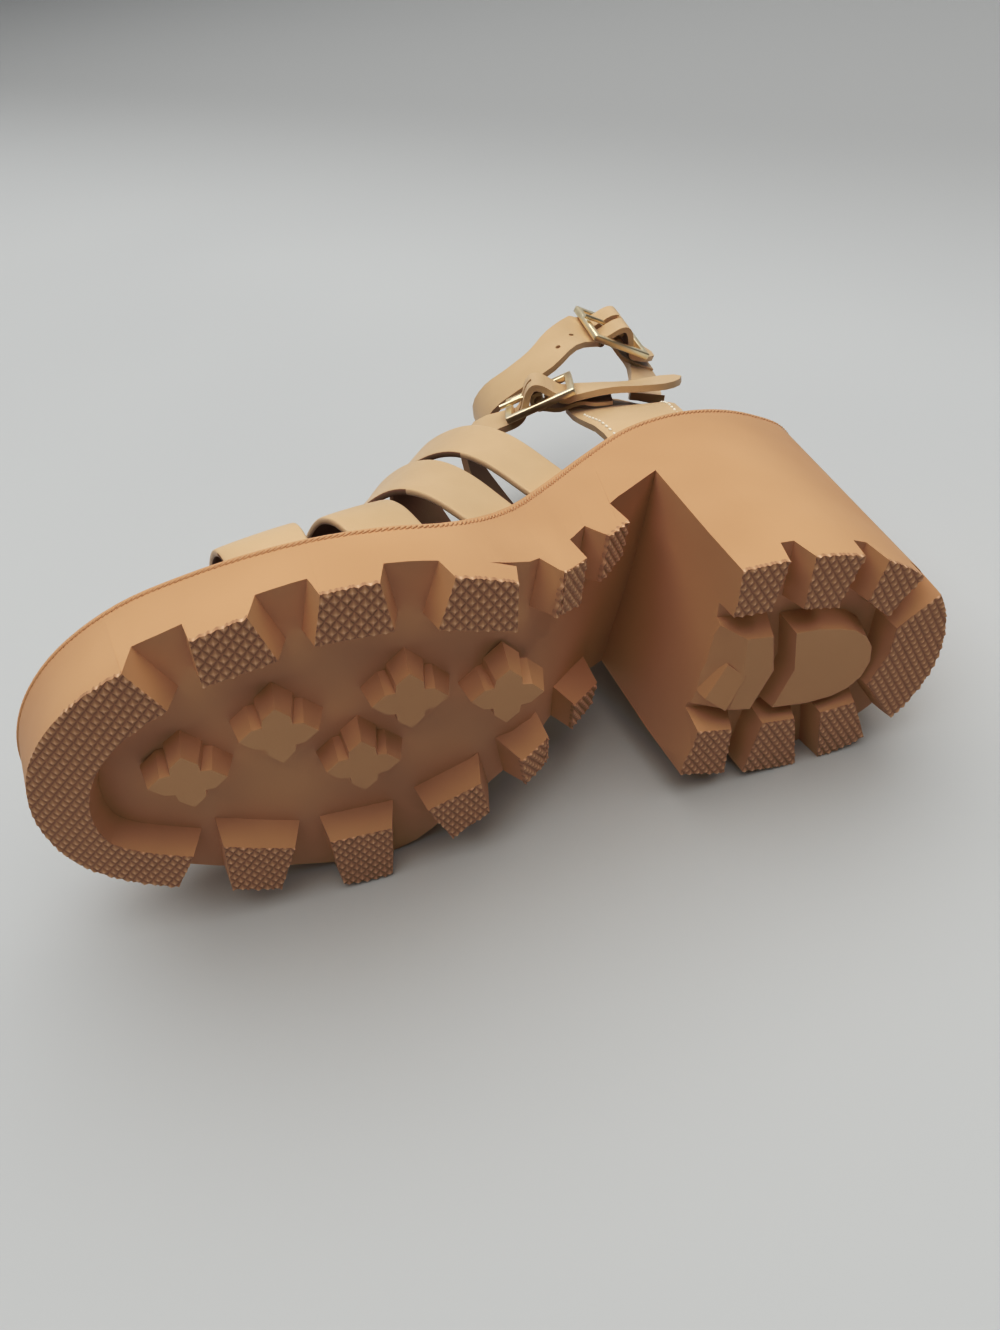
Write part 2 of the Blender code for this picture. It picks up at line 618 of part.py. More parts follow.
def ankle_point(around, height):
    """The ankle form: around is an angle from the toe, positive on the outer side."""
    back, front, outer, inner = (column(ANKLE, height, number) for number in (1, 2, 3, 4))
    middle_x, half_x = (back + front) / 2, (front - back) / 2
    middle_y, half_y = (outer + inner) / 2, (outer - inner) / 2
    return Vector((middle_x + half_x * math.cos(around), middle_y + half_y * math.sin(around), height))


def eased(share):
    """A share held between 0 and 1, with a soft start and end."""
    share = min(max(share, 0.0), 1.0)
    return share ** 2 * (3 - 2 * share)


def quarter_point(around, height, low):
    """The quarter stands in its slot at the rim and leans onto the ankle form above it."""
    point = ankle_point(around, height)
    side = 1 if math.sin(around) > 0 else -1
    base_y = edge_y(RIM_PLAN, max(point.x, 8.0), side, STRAP_INSET)
    share = min((height - low) / QUARTER_LEAN, 1.0)
    point.y = base_y + (point.y - base_y) * eased(share)
    high = (height - SAG_HEIGHTS[0]) / (SAG_HEIGHTS[1] - SAG_HEIGHTS[0])
    back = (SAG_ENDS[0] - point.x) / (SAG_ENDS[0] - SAG_ENDS[1])
    sagged = point.y - SAG * eased(high) * eased(back)
    point.y = min(point.y, max(sagged, floor_beside(point) + 2 * LEATHER + 2 * GAP))
    return point


def floor_beside(point):
    """The y of the floor that the shoe lies on, next to a point of the standing shoe."""
    return (FLOOR_BESIDE - point.x * math.tan(math.radians(LIE_PITCH))
            - point.z * math.tan(math.radians(LIE_ROLL)))


def quarter_station(x, height, side, depth):
    """A strap station at a depth from the inner face of the quarter's wall."""
    back, front = column(ANKLE, height, 1), column(ANKLE, height, 2)
    around = side * math.acos((2 * x - back - front) / (front - back))
    low = rim_height(x) - POCKET_DEPTH + STRAP_LIFT
    point = quarter_point(around, height, low)
    onward = quarter_point(around + 0.05, height, low) - point
    upward = quarter_point(around, height + 1.0, low) - point
    face = onward.cross(upward).normalized()
    return point + face * depth, face


def through(stations, steps):
    """A smooth path through stations, with some steps between each two. A station holds a
    point and the way the strap's face looks there."""
    knots = [0.0]
    for (a, _), (b, _) in zip(stations, stations[1:]):
        knots.append(knots[-1] + (b - a).length)
    values = [[*point, *face] for point, face in stations]
    path = []
    for i in range(len(stations) - 1):
        for step in range(steps):
            at = knots[i] + (knots[i + 1] - knots[i]) * step / steps
            smooth = [smooth_value(knots, [row[number] for row in values], at) for number in range(6)]
            path.append((Vector(smooth[:3]), Vector(smooth[3:]).normalized()))
    return path + [stations[-1]]


def outward(point, lean=0.0):
    """The way a strap's face looks where it rounds the ankle."""
    across = [(point[i] - ANKLE_CENTRE[i]) / ANKLE_HALF[i] ** 2 for i in (0, 1)]
    return (Vector((*across, 0.0)).normalized() + Vector((0.0, 0.0, lean))).normalized()


def ribbon_rows(stations, width, steps=3, taper=0.0):
    """The two edges and the middle of a strap along a smooth path. A taper points its far end."""
    path = through(stations, steps)
    lines = [[], [], []]
    total = sum((b - a).length for (a, _), (b, _) in zip(path, path[1:]))
    run = 0.0
    for i, (point, face) in enumerate(path):
        before = path[max(i - BEND_SPAN, 0)][0]
        after = path[min(i + BEND_SPAN, len(path) - 1)][0]
        across = (after - before).cross(face).normalized()
        left = total - run
        half = width / 2
        if left < taper:
            half *= max(math.sqrt(1 - (1 - left / taper) ** 2), TIP_SHARE)
        for line, side in zip(lines, (-1, 0, 1)):
            line.append(point + across * half * side)
        run += (path[min(i + 1, len(path) - 1)][0] - point).length
    return lines


def buckle_axes(buckle):
    run = Vector(buckle["run"]).normalized()
    up = Vector(buckle["up"])
    up = (up - run * up.dot(run)).normalized()
    return Vector(buckle["centre"]), run, up, run.cross(up)


def at_buckle(buckle, along, out, up=0.0):
    """A point from a buckle's centre: along the strap, out from the foot, and up."""
    centre, run, rise, normal = buckle_axes(buckle)
    return centre + run * along + normal * out + rise * up


def strap_through(buckle):
    """Stations of a strap that dips under the end bars and climbs over the middle bar,
    where it clears the prong's eye."""
    under = -BUCKLE_WIRE - 2 * GAP - LEATHER / 2
    over = BUCKLE_WIRE + 5 * GAP + 2 * PRONG_WIRE + LEATHER / 2
    end = BUCKLE_LENGTH / 2
    edge = end - BUCKLE_WIRE - 2 * GAP
    normal = buckle_axes(buckle)[3]
    heights = [(-end, under - 0.2)]
    for step in range(-4, 5):
        hump = (1 + math.cos(math.pi * step / 4)) / 2
        heights.append((edge * step / 4, under + (over - under) * hump))
    heights.append((end, under - 0.2))
    return [(at_buckle(buckle, along, out), normal) for along, out in heights]


def tab_round_bar(buckle):
    """Stations of a tab that comes in under the strap and folds round the middle bar."""
    radius = BUCKLE_WIRE * math.sqrt(2) + GAP + TAB_LEATHER / 2
    below = -BUCKLE_WIRE - 5 * GAP - LEATHER - TAB_LEATHER / 2
    run, normal = buckle_axes(buckle)[1], buckle_axes(buckle)[3]
    stations = [(at_buckle(buckle, BUCKLE_LENGTH / 2 + 1.0, below - 0.4), normal),
                (at_buckle(buckle, BUCKLE_LENGTH / 4, below + 0.2), normal)]
    for degrees in range(-90, -301, -30):
        turn = math.radians(degrees)
        spoke = run * math.cos(turn) + normal * math.sin(turn)
        stations.append((Vector(buckle["centre"]) + spoke * radius, -spoke))
    return stations


def buckle_block(form, buckle, run, half, reach):
    """A block at a buckle: from and to along the strap, half its width and half its depth."""
    ring = ((run[0], half), (run[0], -half), (run[1], -half), (run[1], half))
    add_rings(form, [[at_buckle(buckle, along, out, up) for along, up in ring] for out in (-reach, reach)])


def buckle_cutter(buckle, run, name, cutters):
    """A slot through leather, across the middle of the strap."""
    def slot(form):
        buckle_block(form, buckle, run, PRONG_HOLE / 2, BUCKLE_LENGTH / 2)
    return new_object(name, slot, cutters, cutter=True)


def make_ribbon(name, lines, thickness, group, material):
    strap = new_object(name, sheet_builder(lines), group, material)
    solidify(strap, thickness, 0.0, even=False)
    return strap


def make_lower_strap(group, cutters, material):
    front, back = LOWER_STRAP_BASE
    foot = []
    for x in (back, (back + front) / 2, front):
        foot.append(Vector((x, edge_y(RIM_PLAN, x, -1, STRAP_INSET - LEATHER / 2 + 0.4),
                            rim_height(x) - POCKET_DEPTH + STRAP_LIFT + 0.5)))
    stations = [(foot[1] + Vector((1.2, -0.2, 9.0)), Vector((0.1, -1.0, 0.0)))]
    stations += [(point, outward(point, LOWER_STRAP_LEAN)) for point in map(Vector, LOWER_STRAP)]
    stations += strap_through(LOWER_BUCKLE)
    stations += [(point, outward(point, LOWER_STRAP_LEAN)) for point in map(Vector, LOWER_STRAP_END)]
    lines = ribbon_rows(stations, BUCKLED_WIDTH, taper=STRAP_TAPER)
    lines = [[point] + line for point, line in zip(foot, lines)]
    strap = make_ribbon("lower_ankle_strap", lines, LEATHER, group, material)
    boolean(strap, buckle_cutter(LOWER_BUCKLE, HOLE_RUN, "cut_lower_prong_hole", cutters))


def make_ankle_strap(group, cutters, material):
    """The strap that is sewn on the quarter's back band and closes round the ankle."""
    depth = 1.5 * LEATHER + GAP
    stations = [quarter_station(x, height, -1, depth + off) for x, height, off in ANKLE_STRAP_ROOT]
    stations += [(point, outward(point)) for point in map(Vector, ANKLE_STRAP)]
    stations += strap_through(UPPER_BUCKLE)
    stations += [(point, outward(point)) for point in map(Vector, ANKLE_STRAP_END)]
    lines = ribbon_rows(stations, BUCKLED_WIDTH, taper=STRAP_TAPER)
    strap = make_ribbon("ankle_strap", lines, LEATHER, group, material)
    boolean(strap, buckle_cutter(UPPER_BUCKLE, HOLE_RUN, "cut_upper_prong_hole", cutters))


def on_quarter(root):
    """Stations of a tab sewn on the outside of the quarter."""
    depth = LEATHER + 3 * GAP + TAB_LEATHER / 2
    return [quarter_station(x, height, 1, depth + off) for x, height, off in root]


def make_tab(buckle, start, group, cutters, material):
    """A thin tab that folds round a buckle's middle bar."""
    lines = ribbon_rows(start + tab_round_bar(buckle), TAB_WIDTH)
    tab = make_ribbon(buckle["name"] + "_tab", lines, TAB_LEATHER, group, material)
    boolean(tab, buckle_cutter(buckle, SLOT_RUN, "cut_" + tab.name, cutters))
    return tab


def make_upper_tab(group, cutters, material):
    """The ankle strap's tab, with the post that carries it up from the quarter."""
    along, out, heights = POST_TOP
    normal = buckle_axes(UPPER_BUCKLE)[3]
    start = (at_buckle(UPPER_BUCKLE, along + TAB_WIDTH / 2, out + TAB_LEATHER), normal)
    tab = make_tab(UPPER_BUCKLE, [start], group, cutters, material)
    stations = on_quarter(POST_ROOT) + [(at_buckle(UPPER_BUCKLE, along, out, up), normal) for up in heights]
    lines = ribbon_rows(stations, TAB_WIDTH)
    post = make_ribbon("upper_buckle_post", lines, 2 * TAB_LEATHER, cutters, material)
    post.hide_render = True
    post.display_type = "WIRE"
    boolean(tab, post, "UNION")


def make_quarter(group, cutters, material):
    """Both legs and the back band, with the open arch over the heel."""
    steps, levels = 44, 6

    def wall(form):
        back, front = column(ANKLE, 90.0, 1), column(ANKLE, 90.0, 2)
        first, last = (math.acos((x - (back + front) / 2) / ((front - back) / 2)) for x in QUARTER_FRONT)
        rows = []
        for level in range(levels + 1):
            line = []
            for step in range(steps + 1):
                around = first + (2 * math.pi - last - first) * step / steps
                x = ankle_point(around, 90.0).x
                low = rim_height(x) - POCKET_DEPTH + STRAP_LIFT
                high = column(QUARTER_TOP, x, 1)
                line.append(quarter_point(around, low + (high - low) * level / levels, low))
            rows.append(line)
        sheet_builder(rows)(form)

    def arch(form):
        rings = [[Vector((x, side, height)) for x, height in QUARTER_ARCH] for side in (-FAR, FAR)]
        add_rings(form, rings)

    quarter = new_object("heel_quarter", wall, group, material)
    solidify(quarter, LEATHER, 1.0, even=True)
    boolean(quarter, new_object("cut_heel_arch", arch, cutters, cutter=True))


def make_buckle(buckle, group, cutters, material):
    """A cast frame with a middle bar, and a prong whose eye turns on that bar."""
    half_length = BUCKLE_LENGTH / 2 + BUCKLE_WIRE
    half_width = BUCKLE_WIDTH / 2 + BUCKLE_WIRE
    window = BUCKLE_WIDTH / 2 - BUCKLE_WIRE

    def block(form):
        buckle_block(form, buckle, (-half_length, half_length), half_width, BUCKLE_WIRE)

    def windows(form):
        near, far = BUCKLE_WIRE, BUCKLE_LENGTH / 2 - BUCKLE_WIRE
        for run in ((-far, -near), (near, far)):
            buckle_block(form, buckle, run, window, 4 * BUCKLE_WIRE)

    frame = new_object(buckle["name"] + "_frame", block, group, material)
    boolean(frame, new_object(buckle["name"] + "_windows", windows, cutters, cutter=True))
    edges = frame.modifiers.new("rounded", "BEVEL")
    edges.width = BUCKLE_ROUNDING * MM
    edges.segments = 2
    edges.limit_method = "ANGLE"

    radius = BUCKLE_WIRE * math.sqrt(2) + PRONG_WIRE
    route = []
    for degrees in range(0, -211, -30):
        turn = math.radians(degrees)
        route.append(at_buckle(buckle, radius * math.cos(turn), radius * math.sin(turn)))
    for along in (-6.0, -9.0, -BUCKLE_LENGTH / 2 - PRONG_REACH):
        route.append(at_buckle(buckle, along, BUCKLE_WIRE + GAP + PRONG_WIRE))
    curve = bpy.data.curves.new(buckle["name"] + "_prong", "CURVE")
    curve.dimensions = "3D"
    curve.bevel_depth = PRONG_WIRE * MM
    curve.bevel_resolution = 2
    curve.use_fill_caps = True
    spline = curve.splines.new("POLY")
    spline.points.add(len(route) - 1)
    for knot, point in zip(spline.points, route):
        knot.co = (*(point * MM), 1.0)
    curve.materials.append(material)
    prong = bpy.data.objects.new(buckle["name"] + "_prong", curve)
    group.objects.link(prong)


def make_parts():
    parts = new_collection("platform_sandal")
    cutters = new_collection("cutters")
    materials = {name: new_material(name) for name in COLOURS}
    make_sole(parts, cutters, materials["rubber"])
    make_insole(parts, cutters, materials["lining"])
    for row in STRAPS:
        make_strap(row, parts, materials["leather"])
    make_lower_strap(parts, cutters, materials["leather"])
    make_quarter(parts, cutters, materials["leather"])
    make_ankle_strap(parts, cutters, materials["leather"])
    make_tab(LOWER_BUCKLE, on_quarter(LOWER_TAB_ROOT), parts, cutters, materials["leather"])
    make_upper_tab(parts, cutters, materials["leather"])
    for buckle in (LOWER_BUCKLE, UPPER_BUCKLE):
        make_buckle(buckle, parts, cutters, materials["brass"])
    return parts, cutters


def lay_on_side(parts, cutters):
    """Turns the standing shoe onto its inner side: toe towards -X, tread towards -Y."""
    lying = bpy.data.objects.new("lying_on_inner_side", None)
    parts.objects.link(lying)
    onto_side = Matrix(((-1, 0, 0), (0, 0, 1), (0, 1, 0))).to_4x4()
    roll = Matrix.Rotation(math.radians(LIE_ROLL), 4, "X")
    pitch = Matrix.Rotation(math.radians(LIE_PITCH), 4, "Y")
    lying.matrix_world = Matrix.Translation(Vector(LIE_SHIFT) * MM) @ pitch @ roll @ onto_side
    for item in [*parts.objects, *cutters.objects]:
        if item is not lying:
            item.parent = lying


clear_scene()
lay_on_side(*make_parts())
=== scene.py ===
# %% [markdown]
# # A platform wedge sandal
#
# This lesson dresses a finished CAD model of a sandal. The CAD gives every piece its true
# place and size. Here each piece gets its soft edges, its fine tread, its stitches and its
# finish. First the model is loaded. The looks must stay in it.

# %% Load the model
import math

import bmesh
import bpy
from mathutils import Matrix, Vector
from mathutils.bvhtree import BVHTree


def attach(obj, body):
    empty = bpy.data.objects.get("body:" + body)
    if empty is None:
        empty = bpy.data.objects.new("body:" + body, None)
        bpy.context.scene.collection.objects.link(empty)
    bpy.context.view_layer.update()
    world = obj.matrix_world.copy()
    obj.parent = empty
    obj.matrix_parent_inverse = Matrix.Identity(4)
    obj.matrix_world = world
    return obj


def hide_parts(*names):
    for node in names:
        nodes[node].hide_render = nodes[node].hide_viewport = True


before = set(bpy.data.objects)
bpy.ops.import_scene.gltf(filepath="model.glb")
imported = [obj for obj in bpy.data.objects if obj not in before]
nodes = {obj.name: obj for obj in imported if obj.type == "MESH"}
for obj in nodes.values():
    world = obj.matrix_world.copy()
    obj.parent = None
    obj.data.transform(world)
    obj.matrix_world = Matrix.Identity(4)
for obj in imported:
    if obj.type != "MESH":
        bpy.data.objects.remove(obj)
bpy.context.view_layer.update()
print("nodes:", sorted(nodes))

# %% [markdown]
# The sandal lies on its inner side. It is easier to think about it standing up, in
# millimetres: X from heel to toe, Y to the outer side of the foot, Z up. `STANDING` turns
# that into the world of the model, where the sandal lies down and lengths are in metres.
# The CAD's copies are loose triangles, so corners that share a place are merged first. Then
# Bevel can find the edges, and shading can run over them.

# %% The standing shoe and the world
MM = 0.001
LIE_ROLL = 1.58            # degrees about X, from lying exactly on its side
LIE_PITCH = 8.59           # and about Y
LIE_SHIFT = (118.72, -83.81, 26.85)
SAME_CORNER = 0.002
SHOE_MIDDLE = Vector((118.0, 0.0, 0.0))
ONTO_SIDE = Matrix(((-1, 0, 0), (0, 0, 1), (0, 1, 0))).to_4x4()
TURN = Matrix.Rotation(math.radians(LIE_PITCH), 4, "Y") @ Matrix.Rotation(math.radians(LIE_ROLL), 4, "X")
STANDING = Matrix.Scale(MM, 4) @ Matrix.Translation(LIE_SHIFT) @ TURN @ ONTO_SIDE
TO_STANDING = STANDING.inverted()


def standing_form(name):
    """A node's mesh as a bmesh of the standing shoe, with its loose triangles merged."""
    node = nodes[name]
    form = bmesh.new()
    form.from_mesh(node.data)
    form.transform(TO_STANDING @ node.matrix_world)
    bmesh.ops.remove_doubles(form, verts=form.verts, dist=SAME_CORNER)
    return form


def mesh_from(form, name):
    """Turns a bmesh into a mesh and lets the bmesh go."""
    mesh = bpy.data.meshes.new(name)
    form.to_mesh(mesh)
    form.free()
    return mesh


def add_object(name, data):
    """Puts data into the scene as an object."""
    item = bpy.data.objects.new(name, data)
    bpy.context.scene.collection.objects.link(item)
    return item


up_the_shoe = STANDING.to_3x3() @ Vector((0.0, 0.0, 1.0))
print("a millimetre up the standing shoe, in the world:", [round(part, 5) for part in up_the_shoe])

# %% [markdown]
# A finished piece lies at the origin, unturned, with its place in its mesh. The CAD nodes it
# stands for are hidden, and it rides on the body "root".

# %% A helper for finished pieces


def hand_over(piece, replaced=()):
    if replaced:
        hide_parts(*replaced)
    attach(piece, "root")
    print(piece.name, len(piece.data.polygons), "faces")


def new_piece(name, form, materials, replaced=(), smooth=True):
    """Lays a standing form down as a finished object that stands for CAD nodes."""
    form.transform(STANDING)
    mesh = mesh_from(form, name)
    for material in materials:
        mesh.materials.append(material)
    if smooth:
        mesh.shade_smooth()
    piece = add_object(name, mesh)
    hand_over(piece, replaced)
    return piece


# %% [markdown]
# ## Materials
#
# All finishes are made of nodes that read Object coordinates, so a pattern keeps its real
# size on every piece. The helper below starts a Principled material and hands back the
# pieces that each finish needs. Values that are the same everywhere go straight on the
# shader's own sockets.

# %% A helper for node materials


def start_material(name, roughness, metallic=0.0, specular=0.5):
    material = bpy.data.materials.new(name)
    material.use_nodes = True
    tree = material.node_tree
    shader = tree.nodes["Principled BSDF"]
    shader.inputs["Roughness"].default_value = roughness
    shader.inputs["Metallic"].default_value = metallic
    shader.inputs["Specular IOR Level"].default_value = specular
    place = tree.nodes.new("ShaderNodeTexCoord")
    return material, tree, shader, place.outputs["Object"]


def noise(tree, place, size_mm, detail=3.0, roughness=0.5):
    """Noise whose patches are about so many millimetres across."""
    node = tree.nodes.new("ShaderNodeTexNoise")
    node.inputs["Scale"].default_value = 1.0 / (size_mm * MM)
    node.inputs["Detail"].default_value = detail
    node.inputs["Roughness"].default_value = roughness
    tree.links.new(place, node.inputs["Vector"])
    return node.outputs["Fac"]


def ramp(tree, value, stops):
    """A colour ramp from (position, colour) pairs."""
    node = tree.nodes.new("ShaderNodeValToRGB")
    elements = node.color_ramp.elements
    while len(elements) < len(stops):
        elements.new(0.5)
    for element, (position, colour) in zip(elements, stops):
        element.position = position
        element.color = (*colour, 1.0)
    tree.links.new(value, node.inputs["Fac"])
    return node.outputs["Color"]


def bump(tree, shader, height, depth_mm, below=None):
    """Raises the surface by a height field, on top of the bump below if there is one."""
    node = tree.nodes.new("ShaderNodeBump")
    node.inputs["Distance"].default_value = depth_mm * MM
    node.inputs["Strength"].default_value = 1.0
    tree.links.new(height, node.inputs["Height"])
    if below is not None:
        tree.links.new(below, node.inputs["Normal"])
    tree.links.new(node.outputs["Normal"], shader.inputs["Normal"])
    return node.outputs["Normal"]


def drifting_gloss(tree, shader, value, low, high):
    """Lets the roughness drift between two values."""
    drift = tree.nodes.new("ShaderNodeMapRange")
    drift.inputs["To Min"].default_value = low
    drift.inputs["To Max"].default_value = high
    tree.links.new(value, drift.inputs["Value"])
    tree.links.new(drift.outputs["Result"], shader.inputs["Roughness"])


# %% [markdown]
# Moulded rubber is one colour all through, but the mould leaves it a little uneven: wide,
# faint clouds in the colour, and a fine satin skin that scatters light. Painted textures
# could show that, but noises need no unwrapping: a wide one for the colour, a fine one for
# the skin, and two between them for slow waves and a drifting gloss. On the tread the colour
# is painted light instead: a pale painted highlight on the tips of the pyramids, where light
# from above catches them, and darker, redder painted shade in the valleys. So there the
# colour follows the height in the pattern, which the mesh carries as the attribute "tip".

# %% Rubber of the sole
CLOUD_TONES = ((0.3, (0.6, 0.355, 0.2)), (0.7, (0.665, 0.405, 0.235)))
# The tread's tones are painted light: dark, redder painted shade in the valleys and a pale painted
# highlight on the tips of the pyramids.
TREAD_PAINTED_LIGHT_TONES = ((0.05, (0.47, 0.27, 0.16)), (0.5, (0.6, 0.365, 0.22)), (0.95, (0.8, 0.54, 0.37)))


def make_rubber(name, by_tip=False):
    material, tree, shader, place = start_material(name, roughness=0.56, specular=0.35)
    # On the tread the colour is painted light, set by the height in the pattern.
    if by_tip:
        tip = tree.nodes.new("ShaderNodeAttribute")
        tip.attribute_name = "tip"
        colour = ramp(tree, tip.outputs["Fac"], TREAD_PAINTED_LIGHT_TONES)
    else:
        colour = ramp(tree, noise(tree, place, size_mm=45.0, detail=2.0), CLOUD_TONES)
    tree.links.new(colour, shader.inputs["Base Color"])
    skin = noise(tree, place, size_mm=0.55, detail=2.0)
    low = bump(tree, shader, skin, depth_mm=0.018)
    wave = noise(tree, place, size_mm=14.0, detail=1.0)
    bump(tree, shader, wave, depth_mm=0.12, below=low)
    drifting_gloss(tree, shader, noise(tree, place, size_mm=20.0), low=0.5, high=0.66)
    return material


rubber = make_rubber("moulded_rubber")
tread_rubber = make_rubber("tread_rubber", by_tip=True)
print("rubber:", rubber.name, tread_rubber.name)

# %% [markdown]
# The straps are smooth calf leather: a very fine grain, a tone that drifts a little, and a
# soft shine. The lining is the same hide, darker and matt, and the cut edges are painted a
# paler tone. A Voronoi pattern gives the grain its small cells, and one function makes all
# four leathers, since they differ only in tone, shine and size of grain.

# %% Leathers
CELL_EDGE = 0.22           # how wide the groove between two cells is, in cells


def make_leather(name, dark, light, roughness, grain_mm, grain_depth, specular=0.45):
    material, tree, shader, place = start_material(name, roughness, specular=specular)
    tone = noise(tree, place, size_mm=26.0)
    tree.links.new(ramp(tree, tone, [(0.3, dark), (0.7, light)]), shader.inputs["Base Color"])
    cells = tree.nodes.new("ShaderNodeTexVoronoi")
    cells.feature = "DISTANCE_TO_EDGE"
    cells.inputs["Scale"].default_value = 1.0 / (grain_mm * MM)
    tree.links.new(place, cells.inputs["Vector"])
    pebbles = tree.nodes.new("ShaderNodeMapRange")
    pebbles.inputs["From Max"].default_value = CELL_EDGE
    tree.links.new(cells.outputs["Distance"], pebbles.inputs["Value"])
    low = bump(tree, shader, pebbles.outputs["Result"], grain_depth)
    bump(tree, shader, noise(tree, place, size_mm=9.0, detail=2.0), depth_mm=0.1, below=low)
    shader.inputs["Sheen Weight"].default_value = 0.06
    return material


calf = make_leather("calf_leather", (0.635, 0.44, 0.262), (0.7, 0.5, 0.31),
                    roughness=0.44, grain_mm=0.7, grain_depth=0.012)
edge_paint = make_leather("painted_edge", (0.66, 0.46, 0.28), (0.74, 0.53, 0.34),
                          roughness=0.4, grain_mm=1.4, grain_depth=0.01)
lining = make_leather("lining_leather", (0.235, 0.125, 0.075), (0.31, 0.17, 0.1),
                      roughness=0.66, grain_mm=0.9, grain_depth=0.02, specular=0.3)
footbed = make_leather("footbed_leather", (0.16, 0.085, 0.052), (0.22, 0.12, 0.075),
                       roughness=0.6, grain_mm=1.1, grain_depth=0.03, specular=0.3)
print("leathers:", calf.name, edge_paint.name, lining.name, footbed.name)

# %% [markdown]
# The buckles are polished pale gold. A polished casting isn't a perfect mirror: its
# surface waves a little, and handling leaves a faint haze. A low roughness that drifts with
# a noise gives the haze, and a shallow wide bump gives the waves. The thread is cream, and
# its twist is a noise finer than the thread is thick.

# %% Brass and thread
GOLD_TONES = ((0.35, (0.9, 0.76, 0.52)), (0.65, (0.97, 0.86, 0.64)))
THREAD_TONES = ((0.3, (0.86, 0.78, 0.62)), (0.7, (0.97, 0.92, 0.8)))


def make_brass():
    material, tree, shader, place = start_material("pale_gold", roughness=0.3, metallic=1.0)
    tone = ramp(tree, noise(tree, place, size_mm=6.0), GOLD_TONES)
    tree.links.new(tone, shader.inputs["Base Color"])
    drifting_gloss(tree, shader, noise(tree, place, size_mm=3.0), low=0.26, high=0.42)
    bump(tree, shader, noise(tree, place, size_mm=2.5, detail=1.0), depth_mm=0.05)
    return material


def make_thread():
    material, tree, shader, place = start_material("cream_thread", roughness=0.6)
    twist = noise(tree, place, size_mm=0.3, detail=1.0)
    tree.links.new(ramp(tree, twist, THREAD_TONES), shader.inputs["Base Color"])
    bump(tree, shader, twist, depth_mm=0.06)
    return material


brass = make_brass()
thread = make_thread()
print("metal and thread:", brass.name, thread.name)

# %% [markdown]
# ## The sole
#
# The real sole comes out of one mould, and the faces that its lugs stand on carry a fine
# pattern. First those faces are found: each face's place is compared with the line the lugs
# end on, which is flat under heel and platform, climbs along the arch, and curves up at the
# toe.

# %% Find the lug faces
TOE_SPRING_START = 180.0
TOE_SPRING_RADIUS = 155.0
HEEL_FRONT = 79.0
ARCH_END = 124.5
# The line the arch's lugs end on: x and height.
ARCH_LUG_LINE = ((84.0, 31.8), (93.0, 24.4), (102.3, 14.5), (109.6, 7.8), (118.0, 1.8), (124.0, 0.0))
OFF_ARCH_LINE = 0.9        # how far a lug's corner may lie from that line
OFF_FLOOR_LINE = 0.25      # and from the rest of it
LOOKS_DOWN = -0.6


def lug_line(x):
    """The height at which lugs end, at a distance from the heel."""
    if x > TOE_SPRING_START:
        ahead = x - TOE_SPRING_START
        return TOE_SPRING_RADIUS - math.sqrt(TOE_SPRING_RADIUS ** 2 - ahead ** 2)
    if x <= HEEL_FRONT or x >= ARCH_LUG_LINE[-1][0]:
        return 0.0
    for (x0, low), (x1, high) in zip(ARCH_LUG_LINE, ARCH_LUG_LINE[1:]):
        if x <= x1:
            return low + (high - low) * (x - x0) / (x1 - x0)
    return 0.0


def is_lug_face(face):
    if face.normal.z > LOOKS_DOWN:
        return False
    tolerance = OFF_ARCH_LINE if HEEL_FRONT < face.verts[0].co.x < ARCH_END else OFF_FLOOR_LINE
    return all(abs(vertex.co.z - lug_line(vertex.co.x)) < tolerance for vertex in face.verts)


sole_form = standing_form("sole_unit")
sole_form.normal_update()
lug_faces = [face for face in sole_form.faces if is_lug_face(face)]
lug_triangles = [[vertex.co.copy() for vertex in face.verts] for face in lug_faces]
print("lug faces:", len(lug_faces), "area mm2:", round(sum(face.calc_area() for face in lug_faces)))

# %% [markdown]
# ## The tread pattern
#
# The lugs end in a field of small pyramids. Geometry Nodes are good at laying out such a
# field. Two helpers come first: one starts a tree with named inputs, and one gives a tree
# its values, runs it and keeps the plain mesh that comes out.

# %% Helpers for Geometry Nodes
NUMBER, WHOLE_NUMBER, MATERIAL = "NodeSocketFloat", "NodeSocketInt", "NodeSocketMaterial"


def start_tree(name, **inputs):
    """A tree with its group input and output; each input is a label and a kind of socket."""
    tree = bpy.data.node_groups.new(name, "GeometryNodeTree")
    tree.interface.new_socket("Geometry", in_out="INPUT", socket_type="NodeSocketGeometry")
    tree.interface.new_socket("Geometry", in_out="OUTPUT", socket_type="NodeSocketGeometry")
    for label, kind in inputs.items():
        tree.interface.new_socket(label, in_out="INPUT", socket_type=kind)
    return tree, tree.nodes.new("NodeGroupInput"), tree.nodes.new("NodeGroupOutput")


def set_inputs(modifier, values):
    """Sets a Geometry Nodes modifier's inputs, given by label, through their identifiers."""
    for item in modifier.node_group.interface.items_tree:
        if item.item_type == "SOCKET" and item.in_out == "INPUT" and item.name in values:
            modifier[item.identifier] = values[item.name]


def realised(name, source, tree, values):
    """The mesh that a Geometry Nodes tree makes from an object, with no modifier left."""
    modifier = source.modifiers.new(name, "NODES")
    modifier.node_group = tree
    set_inputs(modifier, values)
    graph = bpy.context.evaluated_depsgraph_get()
    mesh = bpy.data.meshes.new_from_object(source.evaluated_get(graph))
    bpy.data.objects.remove(source, do_unlink=True)
    mesh.name = name
    return mesh


# %% [markdown]
# The field is a square grid turned by 45 degrees, with a four-sided cone on each point, so
# that the pyramids stand corner to corner. Realize Instances turns it into one mesh, which
# is then stretched a little across the shoe, as the real diamonds are.

